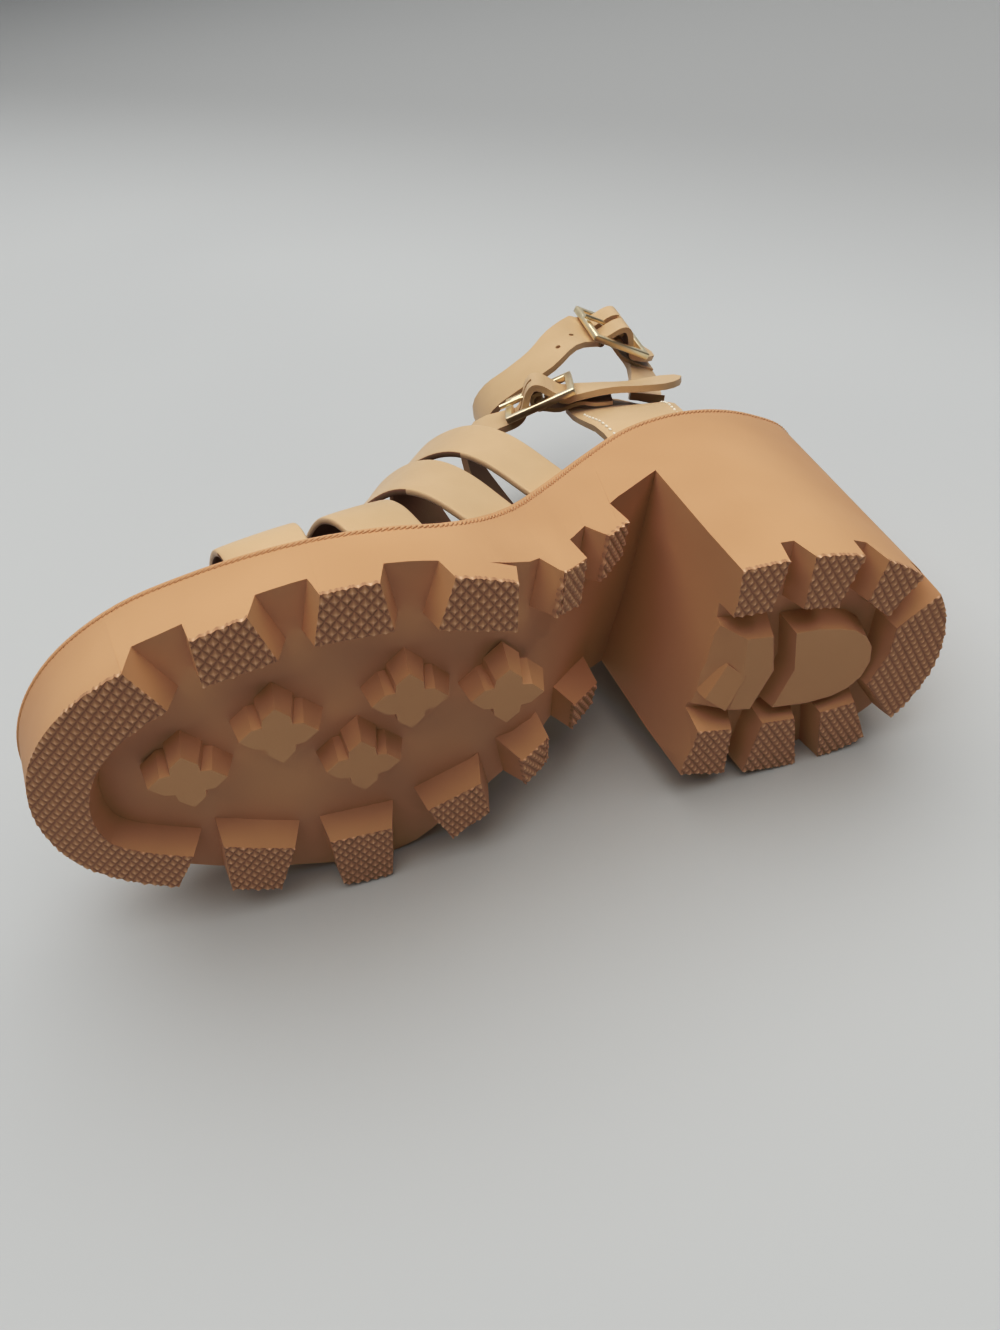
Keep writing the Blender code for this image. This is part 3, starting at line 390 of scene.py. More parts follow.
# %% A field of pyramids
KNURL_PITCH = 2.4          # across a pyramid, corner to corner
KNURL_STRETCH = 1.35       # how much longer a pyramid is across the shoe
KNURL_HEIGHT = 0.7
KNURL_PROUD = 0.14         # how far the tips stand past the plain lug
FIELD_COUNT = 146          # points along a side of the grid
FIELD_SIDE = (FIELD_COUNT - 1) * KNURL_PITCH / math.sqrt(2)


def pyramid_field_tree():
    tree, given, result = start_tree("pyramid_field", Side=NUMBER, Count=WHOLE_NUMBER, Pitch=NUMBER,
                                     Height=NUMBER, Stretch=NUMBER)
    add, link = tree.nodes.new, tree.links.new
    grid = add("GeometryNodeMeshGrid")
    for socket in ("Size X", "Size Y"):
        link(given.outputs["Side"], grid.inputs[socket])
    for socket in ("Vertices X", "Vertices Y"):
        link(given.outputs["Count"], grid.inputs[socket])
    turned = add("GeometryNodeTransform")
    turned.inputs["Rotation"].default_value = (0.0, 0.0, math.radians(45))
    link(grid.outputs["Mesh"], turned.inputs["Geometry"])
    half = add("ShaderNodeMath")
    half.operation = "MULTIPLY"
    half.inputs[1].default_value = 0.5
    link(given.outputs["Pitch"], half.inputs[0])
    cone = add("GeometryNodeMeshCone")
    cone.fill_type = "NONE"
    cone.inputs["Vertices"].default_value = 4
    cone.inputs["Radius Top"].default_value = 0.0
    link(half.outputs[0], cone.inputs["Radius Bottom"])
    link(given.outputs["Height"], cone.inputs["Depth"])
    scatter = add("GeometryNodeInstanceOnPoints")
    link(turned.outputs["Geometry"], scatter.inputs["Points"])
    link(cone.outputs["Mesh"], scatter.inputs["Instance"])
    real = add("GeometryNodeRealizeInstances")
    link(scatter.outputs["Instances"], real.inputs["Geometry"])
    scale = add("ShaderNodeCombineXYZ")
    scale.inputs["X"].default_value = 1.0
    scale.inputs["Z"].default_value = 1.0
    link(given.outputs["Stretch"], scale.inputs["Y"])
    longer = add("GeometryNodeTransform")
    link(real.outputs["Geometry"], longer.inputs["Geometry"])
    link(scale.outputs["Vector"], longer.inputs["Scale"])
    paint = add("GeometryNodeSetMaterial")
    paint.inputs["Material"].default_value = tread_rubber
    link(longer.outputs["Geometry"], paint.inputs["Geometry"])
    link(paint.outputs["Geometry"], result.inputs["Geometry"])
    return tree


field_source = add_object("field_source", bpy.data.meshes.new("field_source"))
field = realised("pyramid_field", field_source, pyramid_field_tree(),
                 {"Side": FIELD_SIDE, "Count": FIELD_COUNT, "Pitch": KNURL_PITCH, "Height": KNURL_HEIGHT,
                  "Stretch": KNURL_STRETCH})
field_shift = Vector((SHOE_MIDDLE.x, SHOE_MIDDLE.y, -min(vertex.co.z for vertex in field.vertices)))
pyramid_faces = [[field.vertices[i].co + field_shift for i in face.vertices] for face in field.polygons]
print("pyramids:", len(pyramid_faces) // 4)

# %% [markdown]
# The field is then cut to the outline of every lug, as the mould does, so that the
# pyramids at a lug's edge are cut through. A small polygon is clipped by a triangle one side
# at a time: what lies on the inner side is kept, and a new corner is put where an edge
# crosses it. Blender's own Boolean would do it too, but not as fast or as cleanly.

# %% Clip a polygon


def clip_to_triangle(points, corners):
    """A flat polygon (x, y, height) clipped to a triangle in plan."""
    for i in range(3):
        start, end = corners[i], corners[(i + 1) % 3]
        edge_x, edge_y = end.x - start.x, end.y - start.y
        kept = []
        for j, here in enumerate(points):
            before = points[j - 1]
            side_here = edge_x * (here.y - start.y) - edge_y * (here.x - start.x)
            side_before = edge_x * (before.y - start.y) - edge_y * (before.x - start.x)
            if (side_here >= 0) != (side_before >= 0):
                kept.append(before.lerp(here, side_before / (side_before - side_here)))
            if side_here >= 0:
                kept.append(here)
        points = kept
        if len(points) < 3:
            return []
    return points


def box_in_plan(points):
    """The least and greatest x, then the least and greatest y."""
    xs, ys = [point.x for point in points], [point.y for point in points]
    return min(xs), max(xs), min(ys), max(ys)


boxed_faces = [(points, box_in_plan(points)) for points in pyramid_faces]
print("small faces to clip:", len(boxed_faces))

# %% [markdown]
# Each small face is clipped in plan against each lug triangle it may touch, and its corners
# are set off from the triangle's plane by their height in the field. That height is also
# kept as the attribute `tip` for the colour, which paints a highlight on the tips and shade
# in the valleys. The outer edge is drawn into the lug, so that nothing is left open.

# %% Cut the field to a set of lug faces
LUG_CUT_BACK = KNURL_HEIGHT - KNURL_PROUD
TREAD_WELD = 0.02
TREAD_ROOT = 0.2           # how far the outer edge goes past the lug's own face
SMALLEST_PLAN = 1e-6


def square_to(corners):
    return (corners[1] - corners[0]).cross(corners[2] - corners[0])


def plane_height(corners, x, y):
    start, normal = corners[0], square_to(corners)
    return start.z - (normal.x * (x - start.x) + normal.y * (y - start.y)) / normal.z


def add_clipped_face(form, inside, plan):
    tip = form.verts.layers.float["tip"]
    lifted = []
    for point in inside:
        height = plane_height(plan, point.x, point.y) + LUG_CUT_BACK - point.z
        vertex = form.verts.new((point.x, point.y, height))
        vertex[tip] = point.z / KNURL_HEIGHT
        lifted.append(vertex)
    form.faces.new(lifted[::-1])


def cut_field(triangles):
    form = bmesh.new()
    form.verts.layers.float.new("tip")
    for corners in triangles:
        flat = square_to(corners)
        if abs(flat.z) < SMALLEST_PLAN:
            continue
        plan = corners if flat.z > 0 else corners[::-1]
        low_x, high_x, low_y, high_y = box_in_plan(plan)
        for points, (left, right, near, far) in boxed_faces:
            if right < low_x or left > high_x or far < low_y or near > high_y:
                continue
            inside = clip_to_triangle(points, plan)
            if inside:
                add_clipped_face(form, inside, plan)
    bmesh.ops.remove_doubles(form, verts=form.verts, dist=TREAD_WELD)
    bmesh.ops.dissolve_degenerate(form, edges=form.edges, dist=TREAD_WELD / 2)
    edges = [edge for edge in form.edges if edge.is_boundary]
    for item in bmesh.ops.extrude_edge_only(form, edges=edges)["geom"]:
        if isinstance(item, bmesh.types.BMVert):
            item.co.z += KNURL_HEIGHT + TREAD_ROOT
    return form


# %% [markdown]
# The arch's lugs are steep, and pyramids laid on them from below would come out long. So
# those lugs are turned level, given their part of the field, and turned back.

# %% The tread
ARCH_SLOPE = 41.0
STEEP = 0.9                # a lug face whose normal has less than this along Z
ARCH_DROP = 0.08           # brings the pyramids out of the cut-back faces of the arch
arch_turn = Matrix.Rotation(math.radians(ARCH_SLOPE), 4, "Y")
steep = [corners for corners in lug_triangles if abs(square_to(corners).normalized().z) < STEEP]
level = [corners for corners in lug_triangles if corners not in steep]
tread_form = cut_field([[arch_turn.inverted() @ point for point in corners] for corners in steep])
tread_form.transform(Matrix.Translation((-ARCH_DROP, 0.0, -ARCH_DROP)) @ arch_turn)
tread_form.from_mesh(mesh_from(cut_field(level), "level_tread"))
print("lug faces on the arch:", len(steep), "and elsewhere:", len(level))
tread = new_piece("tread_pyramids", tread_form, [tread_rubber], smooth=False)

# %% [markdown]
# A mould can't cut a perfectly sharp edge, so the sole gets a small Bevel. The lugs' own
# faces are first set back by the depth of the pattern, so that only its tips stand past the
# CAD. Weighted Normal then shades the large faces flat and the bevels round, and edges that
# are marked sharp keep their crease.

# %% The sole with soft edges
SOLE_EDGE = 0.45
SOLE_CREASE = 32.0         # an edge that turns more degrees than this stays sharp
HEEL_FRONT_FROM, HEEL_FRONT_TO = 60.0, 90.0     # along the shoe

for vertex in {vertex for face in lug_faces for vertex in face.verts}:
    vertex.co.z += LUG_CUT_BACK


def mark_sharp(form, degrees):
    """Marks edges that turn more than an angle, so that shading breaks there."""
    limit = math.radians(degrees)
    for edge in form.edges:
        edge.smooth = not (edge.is_manifold and edge.calc_face_angle(0.0) > limit)


def soften(piece, width_mm, segments=2, degrees=35.0):
    bevel = piece.modifiers.new("soft_edges", "BEVEL")
    bevel.width = width_mm * MM
    bevel.segments = segments
    bevel.limit_method = "ANGLE"
    bevel.angle_limit = math.radians(degrees)
    even = piece.modifiers.new("even_shading", "WEIGHTED_NORMAL")
    even.keep_sharp = True


def is_heel_front(normal, centre, least_x, above):
    """The tall, nearly flat front face of the heel, above the lugs."""
    return normal.x > least_x and HEEL_FRONT_FROM < centre.x < HEEL_FRONT_TO and centre.z > above


mark_sharp(sole_form, SOLE_CREASE)
sole_form.normal_update()
for edge in sole_form.edges:
    fronts = [is_heel_front(face.normal, face.calc_center_median(), 0.93, 8.5) for face in edge.link_faces]
    if len(fronts) == 2 and fronts[0] != fronts[1]:
        edge.smooth = False
sole = new_piece("moulded_sole", sole_form, [rubber], ["sole_unit"])
soften(sole, SOLE_EDGE)

# %% [markdown]
# The heel's front face is hollow from side to side and made of tall thin triangles, which
# shade in streaks. The bevelled mesh is kept as it is, and the shading normals of that face
# are worked out from its curve instead, so that the light rolls over it smoothly. The test
# for the face is a little stricter here, to leave out the bevel's own narrow faces.

# %% Even light on the heel's front
FRONT_OUTER = 39.6         # its two sides
FRONT_INNER = -28.6
FRONT_TALL = 48.0
FRONT_HOLLOW = 2.6
FRONT_SKEW = 2.4           # how much further forward the inner side is at the floor
FRONT_LEAN = 8.3           # and how much more at the top


def heel_front_normal(y, z):
    width = FRONT_OUTER - FRONT_INNER
    across = (FRONT_OUTER - y) / width
    along_y = (4 * FRONT_HOLLOW * (1 - 2 * across) - FRONT_SKEW - FRONT_LEAN * z / FRONT_TALL) / width
    along_z = FRONT_LEAN * across / FRONT_TALL
    return Vector((1.0, -along_y, -along_z)).normalized()


graph = bpy.context.evaluated_depsgraph_get()
soft_mesh = bpy.data.meshes.new_from_object(sole.evaluated_get(graph))
sole.modifiers.clear()
sole.data = soft_mesh
stand, lie = TO_STANDING.to_3x3(), STANDING.to_3x3()
shading = [corner.vector.copy() for corner in soft_mesh.corner_normals]
fronts = [face for face in soft_mesh.polygons
          if is_heel_front((stand @ face.normal).normalized(), TO_STANDING @ face.center, 0.955, 8.6)]
for face in fronts:
    for loop in face.loop_indices:
        corner = TO_STANDING @ soft_mesh.vertices[soft_mesh.loops[loop].vertex_index].co
        shading[loop] = (lie @ heel_front_normal(corner.y, corner.z)).normalized()
soft_mesh.normals_split_custom_set(shading)
print("faces with worked-out normals:", len(fronts))

# %% [markdown]
# ## Ridges along the rim
#
# Round the top edge of the sole runs a moulded row of small slanted ridges that looks like
# stitching. It is a shape repeated along a path, which is what Geometry Nodes do best: the
# path is resampled at the pitch, each point gets a small egg-shaped bead turned along the
# path, and a tilt leans it. The same tree sews the thread stitches later on. Which way the
# surface faces at each point comes with the path, as its attribute `facing`.

# %% A tree for beads along a path


def beads_tree():
    tree, given, result = start_tree("beads_along_path", Pitch=NUMBER, Length=NUMBER, Thickness=NUMBER,
                                     Tilt=NUMBER, Finish=MATERIAL)
    add, link = tree.nodes.new, tree.links.new
    path = add("GeometryNodeMeshToCurve")
    link(given.outputs["Geometry"], path.inputs["Mesh"])
    steps = add("GeometryNodeResampleCurve")
    steps.mode = "LENGTH"
    link(path.outputs["Curve"], steps.inputs["Curve"])
    link(given.outputs["Pitch"], steps.inputs["Length"])
    along = add("GeometryNodeInputTangent")
    face = add("GeometryNodeInputNamedAttribute")
    face.data_type = "FLOAT_VECTOR"
    face.inputs["Name"].default_value = "facing"
    turn = add("FunctionNodeAxesToRotation")
    turn.primary_axis = "Z"
    turn.secondary_axis = "X"
    link(face.outputs["Attribute"], turn.inputs["Primary Axis"])
    link(along.outputs["Tangent"], turn.inputs["Secondary Axis"])
    lean = add("FunctionNodeRotateRotation")
    lean.rotation_space = "LOCAL"
    angle = add("FunctionNodeAxisAngleToRotation")
    angle.inputs["Axis"].default_value = (0.0, 0.0, 1.0)
    link(given.outputs["Tilt"], angle.inputs["Angle"])
    link(turn.outputs["Rotation"], lean.inputs["Rotation"])
    link(angle.outputs["Rotation"], lean.inputs["Rotate By"])
    bead = add("GeometryNodeMeshUVSphere")
    bead.inputs["Segments"].default_value = 8
    bead.inputs["Rings"].default_value = 6
    bead.inputs["Radius"].default_value = 0.5
    size = add("ShaderNodeCombineXYZ")
    link(given.outputs["Length"], size.inputs["X"])
    link(given.outputs["Thickness"], size.inputs["Y"])
    link(given.outputs["Thickness"], size.inputs["Z"])
    scatter = add("GeometryNodeInstanceOnPoints")
    link(steps.outputs["Curve"], scatter.inputs["Points"])
    link(bead.outputs["Mesh"], scatter.inputs["Instance"])
    link(lean.outputs["Rotation"], scatter.inputs["Rotation"])
    link(size.outputs["Vector"], scatter.inputs["Scale"])
    real = add("GeometryNodeRealizeInstances")
    link(scatter.outputs["Instances"], real.inputs["Geometry"])
    paint = add("GeometryNodeSetMaterial")
    link(given.outputs["Finish"], paint.inputs["Material"])
    link(real.outputs["Geometry"], paint.inputs["Geometry"])
    link(paint.outputs["Geometry"], result.inputs["Geometry"])
    return tree


beads = beads_tree()
print("nodes in the tree:", len(beads.nodes))

# %% [markdown]
# The tree is fed by a mesh with only points and edges. The beads are made straight in the
# world's metres, since they need no more work as a standing form.

# %% A helper that lays beads along paths


def beads_on(name, paths, pitch, length, thickness, tilt, finish):
    """Beads along paths. A path is a list of (point, facing) on the standing shoe."""
    mesh = bpy.data.meshes.new(name + "_paths")
    points, edges, facings = [], [], []
    for path in paths:
        first = len(points)
        points += [STANDING @ point for point, facing in path]
        facings += [(STANDING.to_3x3() @ facing).normalized() for point, facing in path]
        edges += [(first + i, first + i + 1) for i in range(len(path) - 1)]
    mesh.from_pydata(points, edges, [])
    attribute = mesh.attributes.new("facing", "FLOAT_VECTOR", "POINT")
    for item, facing in zip(attribute.data, facings):
        item.vector = facing
    made = realised(name, add_object(name + "_paths", mesh), beads,
                    {"Pitch": pitch * MM, "Length": length * MM, "Thickness": thickness * MM,
                     "Tilt": math.radians(tilt), "Finish": finish})
    made.shade_smooth()
    hand_over(add_object(name, made))


# %% [markdown]
# The ridges follow the outer edge of the rim. It is found on the sole itself: the edges
# between the flat lip and the outer wall. Seen from above, those points go once round the
# middle of the shoe, so sorting them by their angle puts them in order. Points of the tread
# under the arch lie far below their neighbours, and are left out.

# %% The rim's edge
LIP_LEVEL = 0.55           # a lip's normal has more than this along Z
WALL_UPRIGHT = 0.45        # and a wall's normal less
RIM_LOWEST = 20.0
STRAY_DROP = 12.0


def rim_edge(form):
    """The outer edge of the rim, as (point, the wall's normal)."""
    found = {}
    for edge in form.edges:
        if len(edge.link_faces) != 2:
            continue
        lip, wall = sorted(edge.link_faces, key=lambda face: -face.normal.z)
        outward = (edge.verts[0].co - SHOE_MIDDLE).to_2d()
        faces_out = wall.normal.to_2d().dot(outward) > 0
        if faces_out and lip.normal.z > LIP_LEVEL and abs(wall.normal.z) < WALL_UPRIGHT:
            for vertex in edge.verts:
                if vertex.co.z > RIM_LOWEST:
                    found[vertex.index] = (vertex.co.copy(), wall.normal.copy())
    ring = sorted(found.values(), key=lambda pair: math.atan2(pair[0].y, pair[0].x - SHOE_MIDDLE.x))
    return [pair for i, pair in enumerate(ring) if pair[0].z > ring[i - 1][0].z - STRAY_DROP]


rim_form = standing_form("sole_unit")
rim_form.normal_update()
rim = rim_edge(rim_form)
print("rim points:", len(rim))

# %% [markdown]
# From the edge, the path goes a little down the wall, and the nearest place on the wall
# says where the ridge's middle lies and which way it faces.

# %% Ridges of the rim
RIDGE_DROP = 1.4
RIDGE_REACH = 0.3          # how far off the wall the search starts
RIDGE_PROUD = 0.02
RIDGE_PITCH = 1.35
RIDGE_LENGTH = 2.6
RIDGE_THICKNESS = 0.7
RIDGE_TILT = 35.0

rim_tree = BVHTree.FromBMesh(rim_form)
rim_form.free()
ridge_path = []
for i, (point, normal) in enumerate(rim):
    along = (rim[(i + 1) % len(rim)][0] - rim[i - 1][0]).normalized()
    down = along.cross(normal).normalized()
    down = down if down.z < 0 else -down
    hit, facing, face, distance = rim_tree.find_nearest(point + down * RIDGE_DROP + normal * RIDGE_REACH)
    ridge_path.append((hit + facing * RIDGE_PROUD, facing))
beads_on("rim_ridges", [ridge_path + ridge_path[:1]], RIDGE_PITCH, RIDGE_LENGTH, RIDGE_THICKNESS,
         RIDGE_TILT, rubber)

# %% [markdown]
# ## The footbed
#
# The insole's CAD solid already has the right shape, so it stays and gets its leather.

# %% Footbed
nodes["insole"].data.materials.clear()
nodes["insole"].data.materials.append(footbed)
print("the insole's finish:", nodes["insole"].data.materials[0].name)

# %% [markdown]
# ## Straps
#
# A strap is leather folded over a lining, so its edges are round and its inside is darker.
# The copy's triangles are joined back into four-sided faces. How squarely a face looks at
# the foot says what it is: lining when it looks in, edge when it looks along, calf when it
# looks out.

# %% Helpers for leather pieces
FOOT_MIDDLE_Y = -4.0
ANKLE_MIDDLE_X = 54.0
EDGE_WITHIN = 0.3          # a face that turns less than this towards the foot or away is an edge
FACE_TURN, SHAPE_TURN = 40.0, 60.0     # degrees allowed where triangles are joined
CALF_SIDE, LINING_SIDE, EDGE_SIDE = range(3)
LEATHER_SIDES = [calf, lining, edge_paint]
CREASE = 50.0              # an edge that turns more degrees than this stays an edge


def strap_form(name):
    form = standing_form(name)
    bmesh.ops.join_triangles(form, faces=form.faces, angle_face_threshold=math.radians(FACE_TURN),
                             angle_shape_threshold=math.radians(SHAPE_TURN))
    return form


def paint_sides(form, middle):
    """Gives each face its side of the leather; middle is the foot's middle near a place."""
    form.normal_update()
    for face in form.faces:
        centre = face.calc_center_median()
        facing = face.normal.dot((centre - middle(centre)).normalized())
        if abs(facing) < EDGE_WITHIN:
            face.material_index = EDGE_SIDE
        else:
            face.material_index = CALF_SIDE if facing > 0 else LINING_SIDE


print("leather finishes:", [side.name for side in LEATHER_SIDES])

# %% [markdown]
# The four straps over the foot are bands of even faces. Bevel rounds their edges, and
# Subdivision Surface evens the curve.

# %% Straps over the foot
STRAP_EDGE = 0.7

for name in ("toe_strap", "ball_strap", "midfoot_strap", "instep_strap"):
    form = strap_form(name)
    low = min(vertex.co.z for vertex in form.verts)
    paint_sides(form, lambda centre: Vector((centre.x, FOOT_MIDDLE_Y, low)))
    strap = new_piece(name + "_leather", form, LEATHER_SIDES, [name])
    bevel = strap.modifiers.new("rounded_edge", "BEVEL")
    bevel.width = STRAP_EDGE * MM
    bevel.segments = 2
    bevel.limit_method = "ANGLE"
    bevel.angle_limit = math.radians(CREASE)
    curve = strap.modifiers.new("even_curve", "SUBSURF")
    curve.levels = 2
    curve.render_levels = 2

# %% [markdown]
# The upper strap has two small round holes for the buckle's prong. A punch is a cylinder
# set square to the leather, and a Boolean cuts with it.

# %% Punched holes
PUNCHED = (Vector((68.1, 22.5, 146.2)), Vector((61.6, 23.6, 152.2)))
PUNCH_RADIUS = 0.85
PUNCH_DEPTH = 8.0


def punch(form, places):
    """Cuts round holes through a strap, square to its face at each place."""
    tree = BVHTree.FromBMesh(form)
    punch_form = bmesh.new()
    for place in places:
        hit, normal, face, distance = tree.find_nearest(place)
        turn = normal.to_track_quat("Z", "Y").to_matrix().to_4x4()
        bmesh.ops.create_cone(punch_form, cap_ends=True, segments=16, radius1=PUNCH_RADIUS,
                              radius2=PUNCH_RADIUS, depth=PUNCH_DEPTH,
                              matrix=Matrix.Translation(hit) @ turn)
    blank = add_object("strap_blank", mesh_from(form, "strap_blank"))
    punches = add_object("punches", mesh_from(punch_form, "punches"))
    cut = blank.modifiers.new("punched", "BOOLEAN")
    cut.operation = "DIFFERENCE"
    cut.solver = "EXACT"
    cut.object = punches
    result = bmesh.new()
    result.from_object(blank, bpy.context.evaluated_depsgraph_get())
    for item in (blank, punches):
        bpy.data.objects.remove(item, do_unlink=True)
    return result


ankle_strap_form = punch(strap_form("ankle_strap"), PUNCHED)
print("faces of the punched strap:", len(ankle_strap_form.faces))

# %% [markdown]
# The pieces round the ankle were cut with holes and arches, so their faces are uneven and
# Subdivision would pucker them. They only get a Bevel and weighted shading. The thin tabs
# that hold the buckles are calf on both sides.

# %% Quarter, ankle straps and tabs
AROUND_ANKLE = {"heel_quarter": 0.6, "ankle_strap": 0.7, "lower_ankle_strap": 0.7,
                "lower_buckle_tab": 0.3, "upper_buckle_tab": 0.3}

for name, width in AROUND_ANKLE.items():
    form = ankle_strap_form if name == "ankle_strap" else strap_form(name)
    if not name.endswith("tab"):
        paint_sides(form, lambda centre: Vector((ANKLE_MIDDLE_X, FOOT_MIDDLE_Y, centre.z)))
    mark_sharp(form, CREASE)
    piece = new_piece(name + "_leather", form, LEATHER_SIDES, [name])
    soften(piece, width, segments=3, degrees=CREASE)

# %% [markdown]
# ## Buckles
#
# Cast and polished: the CAD forms stay, copied with their triangles merged so that the
# small round edges shade as one polished surface.

# %% Buckles
for buckle in ("lower_buckle", "upper_buckle"):
    for part in ("frame", "prong"):
        name = f"{buckle}_{part}"
        form = standing_form(name)
        mark_sharp(form, CREASE)
        new_piece(name + "_metal", form, [brass], [name])

# %% [markdown]
# ## Stitches
#
# Four rows of cream thread hold the quarter's lining: on each side of the shoe there is one
# along the front edge and one along the back edge. The paths are found by looking at the
# quarter from the side: for each height, rays step towards the leather until one hits,
# which is the edge, and the seam lies a little inside.

# %% Seams of the quarter
SEAM_INSET = 2.3
SEAM_RISE = 1.5            # between two heights
SEAM_STEP = 0.25           # between two rays
SEAM_PROUD = 0.05
QUARTER_ENDS = 100.0       # rays give up past this distance from the heel
RAY_START = 70.0           # how far to the side rays start
SEAMS = (
    # side, lowest height, number of heights, where the rays start, which way they step
    (1, 81.0, 18, 85.0, -1),
    (1, 84.0, 22, 25.0, 1),
    (-1, 84.0, 16, 85.0, -1),
    (-1, 86.0, 20, 25.0, 1),
)
STITCH_PITCH = 2.9
STITCH_LENGTH = 1.9
STITCH_THICKNESS = 0.85

quarter_form = standing_form("heel_quarter")
quarter_tree = BVHTree.FromBMesh(quarter_form)
quarter_form.free()


def on_leather(x, side, height):
    """The outer face of the quarter at a place seen from one side, and its facing."""
    eye = Vector((x, side * RAY_START, height))
    hit, normal, face, distance = quarter_tree.ray_cast(eye, Vector((0, -side, 0)))
    return hit, normal


def seam(side, lowest, count, start, way):
    path = []
    for i in range(count):
        height = lowest + SEAM_RISE * i
        x = start
        while 0.0 < x < QUARTER_ENDS and on_leather(x, side, height)[0] is None:
            x += way * SEAM_STEP
        hit, normal = on_leather(x + way * SEAM_INSET, side, height)
        if hit is not None:
            path.append((hit + normal * SEAM_PROUD, normal))
    return path


seam_paths = [seam(*row) for row in SEAMS]
print("seam points:", [len(path) for path in seam_paths])
beads_on("quarter_stitches", seam_paths, STITCH_PITCH, STITCH_LENGTH, STITCH_THICKNESS, 0.0, thread)

# %% [markdown]
# ## Floor, light and camera
#
# The floor is one plain pale sheet, with painted shade further away, which stands in for the
# light falling off. The distance is measured along one direction on the floor, and a smooth
# step takes the pale tone over to the darker one.

# %% Floor
FLOOR_SIZE = 12.0          # metres
AWAY = (0.735, 0.678, 0.0)
SHADE_FADE = (0.2, 0.55)         # metres along that way
NEAR_TONES = ((0.3, (0.575, 0.59, 0.59)), (0.7, (0.61, 0.625, 0.62)))
# The far tone is painted shade: the light's falloff towards the back, painted into the floor's colour.
FAR_PAINTED_SHADE_TONE = (0.43, 0.437, 0.435, 1.0)

floor_form = bmesh.new()
bmesh.ops.create_grid(floor_form, x_segments=1, y_segments=1, size=FLOOR_SIZE / 2)
floor = add_object("studio_floor", mesh_from(floor_form, "studio_floor"))
floor_material, floor_tree, floor_shader, floor_place = start_material("pale_floor", 0.75, specular=0.2)
floor_tone = ramp(floor_tree, noise(floor_tree, floor_place, size_mm=400.0, detail=2.0), NEAR_TONES)
# Over that distance the painted shade takes over from the pale tone.
painted_falloff = floor_tree.nodes.new("ShaderNodeMix")
painted_falloff.data_type = "RGBA"
painted_falloff.inputs["B"].default_value = FAR_PAINTED_SHADE_TONE
away = floor_tree.nodes.new("ShaderNodeVectorMath")
away.operation = "DOT_PRODUCT"
away.inputs[1].default_value = AWAY
floor_tree.links.new(floor_place, away.inputs[0])
fade = floor_tree.nodes.new("ShaderNodeMapRange")
fade.interpolation_type = "SMOOTHSTEP"
fade.inputs["From Min"].default_value, fade.inputs["From Max"].default_value = SHADE_FADE
floor_tree.links.new(away.outputs["Value"], fade.inputs["Value"])
floor_tree.links.new(fade.outputs["Result"], painted_falloff.inputs["Factor"])
floor_tree.links.new(floor_tone, painted_falloff.inputs["A"])
floor_tree.links.new(painted_falloff.outputs["Result"], floor_shader.inputs["Base Color"])
floor.data.materials.append(floor_material)
print("floor:", FLOOR_SIZE, "m across")

# %% [markdown]
# One wide soft light hangs above, so that shadows are broad and faint. A weak one on the
# camera's side keeps the tread from going black. The world stands for the room's own light:
# it is brighter behind the shoe than on the camera's side, and the metal mirrors it.

# %% Lights and world
LIGHTS = (
    # name, place, target, size across and deep, watts, colour
    ("key", (0.05, 0.16, 1.5), (0.05, 0.12, 0.0), (2.8, 2.4), 35.0, (1.0, 0.985, 0.965)),
    ("fill", (-0.7, -1.2, 0.9), (0.0, 0.0, 0.05), (1.2, 1.2), 0.55, (1.0, 0.94, 0.89)),
)
for name, place, target, size, watts, colour in LIGHTS:
    lamp = bpy.data.lights.new(name, "AREA")
    lamp.shape = "RECTANGLE"
    lamp.size = size[0]
    lamp.size_y = size[1]
    lamp.energy = watts
    lamp.color = colour
    holder = add_object(name, lamp)
    holder.location = place
    holder.rotation_euler = (Vector(target) - Vector(place)).to_track_quat("-Z", "Y").to_euler()
    print(name, "light:", watts, "W")

WORLD_FRONT, WORLD_BEHIND = 0.06, 0.55     # strengths
WORLD_TURN = (-0.1, 0.8)                   # where along Y one goes over into the other

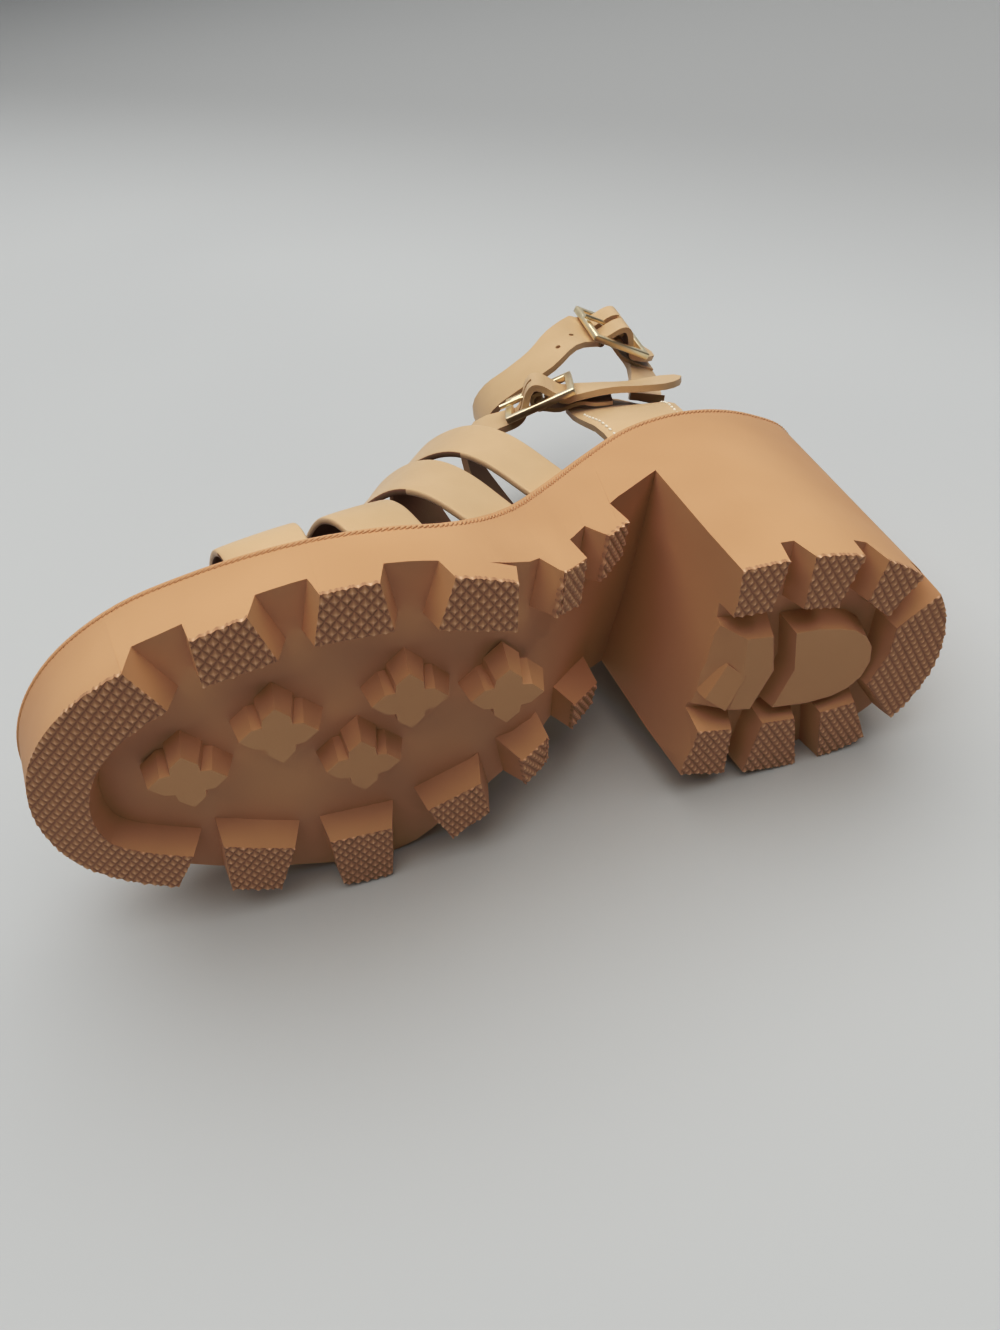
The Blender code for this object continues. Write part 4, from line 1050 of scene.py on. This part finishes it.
world = bpy.data.worlds.new("studio")
world.use_nodes = True
sky = world.node_tree
background = sky.nodes["Background"]
background.inputs["Color"].default_value = (0.86, 0.88, 0.92, 1.0)
around = sky.nodes.new("ShaderNodeTexCoord")
way = sky.nodes.new("ShaderNodeSeparateXYZ")
sky.links.new(around.outputs["Generated"], way.inputs["Vector"])
behind = sky.nodes.new("ShaderNodeMapRange")
behind.interpolation_type = "SMOOTHSTEP"
behind.inputs["From Min"].default_value, behind.inputs["From Max"].default_value = WORLD_TURN
behind.inputs["To Min"].default_value = WORLD_FRONT
behind.inputs["To Max"].default_value = WORLD_BEHIND
sky.links.new(way.outputs["Y"], behind.inputs["Value"])
sky.links.new(behind.outputs["Result"], background.inputs["Strength"])
bpy.context.scene.world = world

# %% [markdown]
# The view's curve gives the tones their contrast, as a camera's own curve would: light
# tones stay, and tones under a quarter of white get darker and richer.

# %% Tone
TONE_POINTS = ((0.03, 0.013), (0.06, 0.032), (0.10, 0.056), (0.174, 0.125), (0.26, 0.218),
               (0.43, 0.42), (0.7, 0.7))
view = bpy.context.scene.view_settings
view.view_transform = "Standard"
view.use_curve_mapping = True
tone = view.curve_mapping.curves[3]
for level, shown in TONE_POINTS:
    tone.points.new(level, shown)
view.curve_mapping.update()
print("points of the tone curve:", len(tone.points))

# %% [markdown]
# The camera stands close, about a third of a metre away, and looks down at the tread. A wide
# lens so near makes the tread look large and the ankle straps small.

# %% Camera
CAMERA_PLACE = (-24.5, -234.4, 212.6)      # millimetres
CAMERA_TURN = (45.88, 6.39, -14.54)        # degrees
FILM_HEIGHT = 36.0
LENS_LENGTH = 25.98

lens = bpy.data.cameras.new("camera")
lens.sensor_fit = "VERTICAL"
lens.sensor_height = FILM_HEIGHT
lens.lens = LENS_LENGTH
lens.clip_start = 0.01
camera = add_object("camera", lens)
camera.location = Vector(CAMERA_PLACE) * MM
camera.rotation_euler = [math.radians(angle) for angle in CAMERA_TURN]
bpy.context.scene.camera = camera
print("camera height, mm:", CAMERA_PLACE[2])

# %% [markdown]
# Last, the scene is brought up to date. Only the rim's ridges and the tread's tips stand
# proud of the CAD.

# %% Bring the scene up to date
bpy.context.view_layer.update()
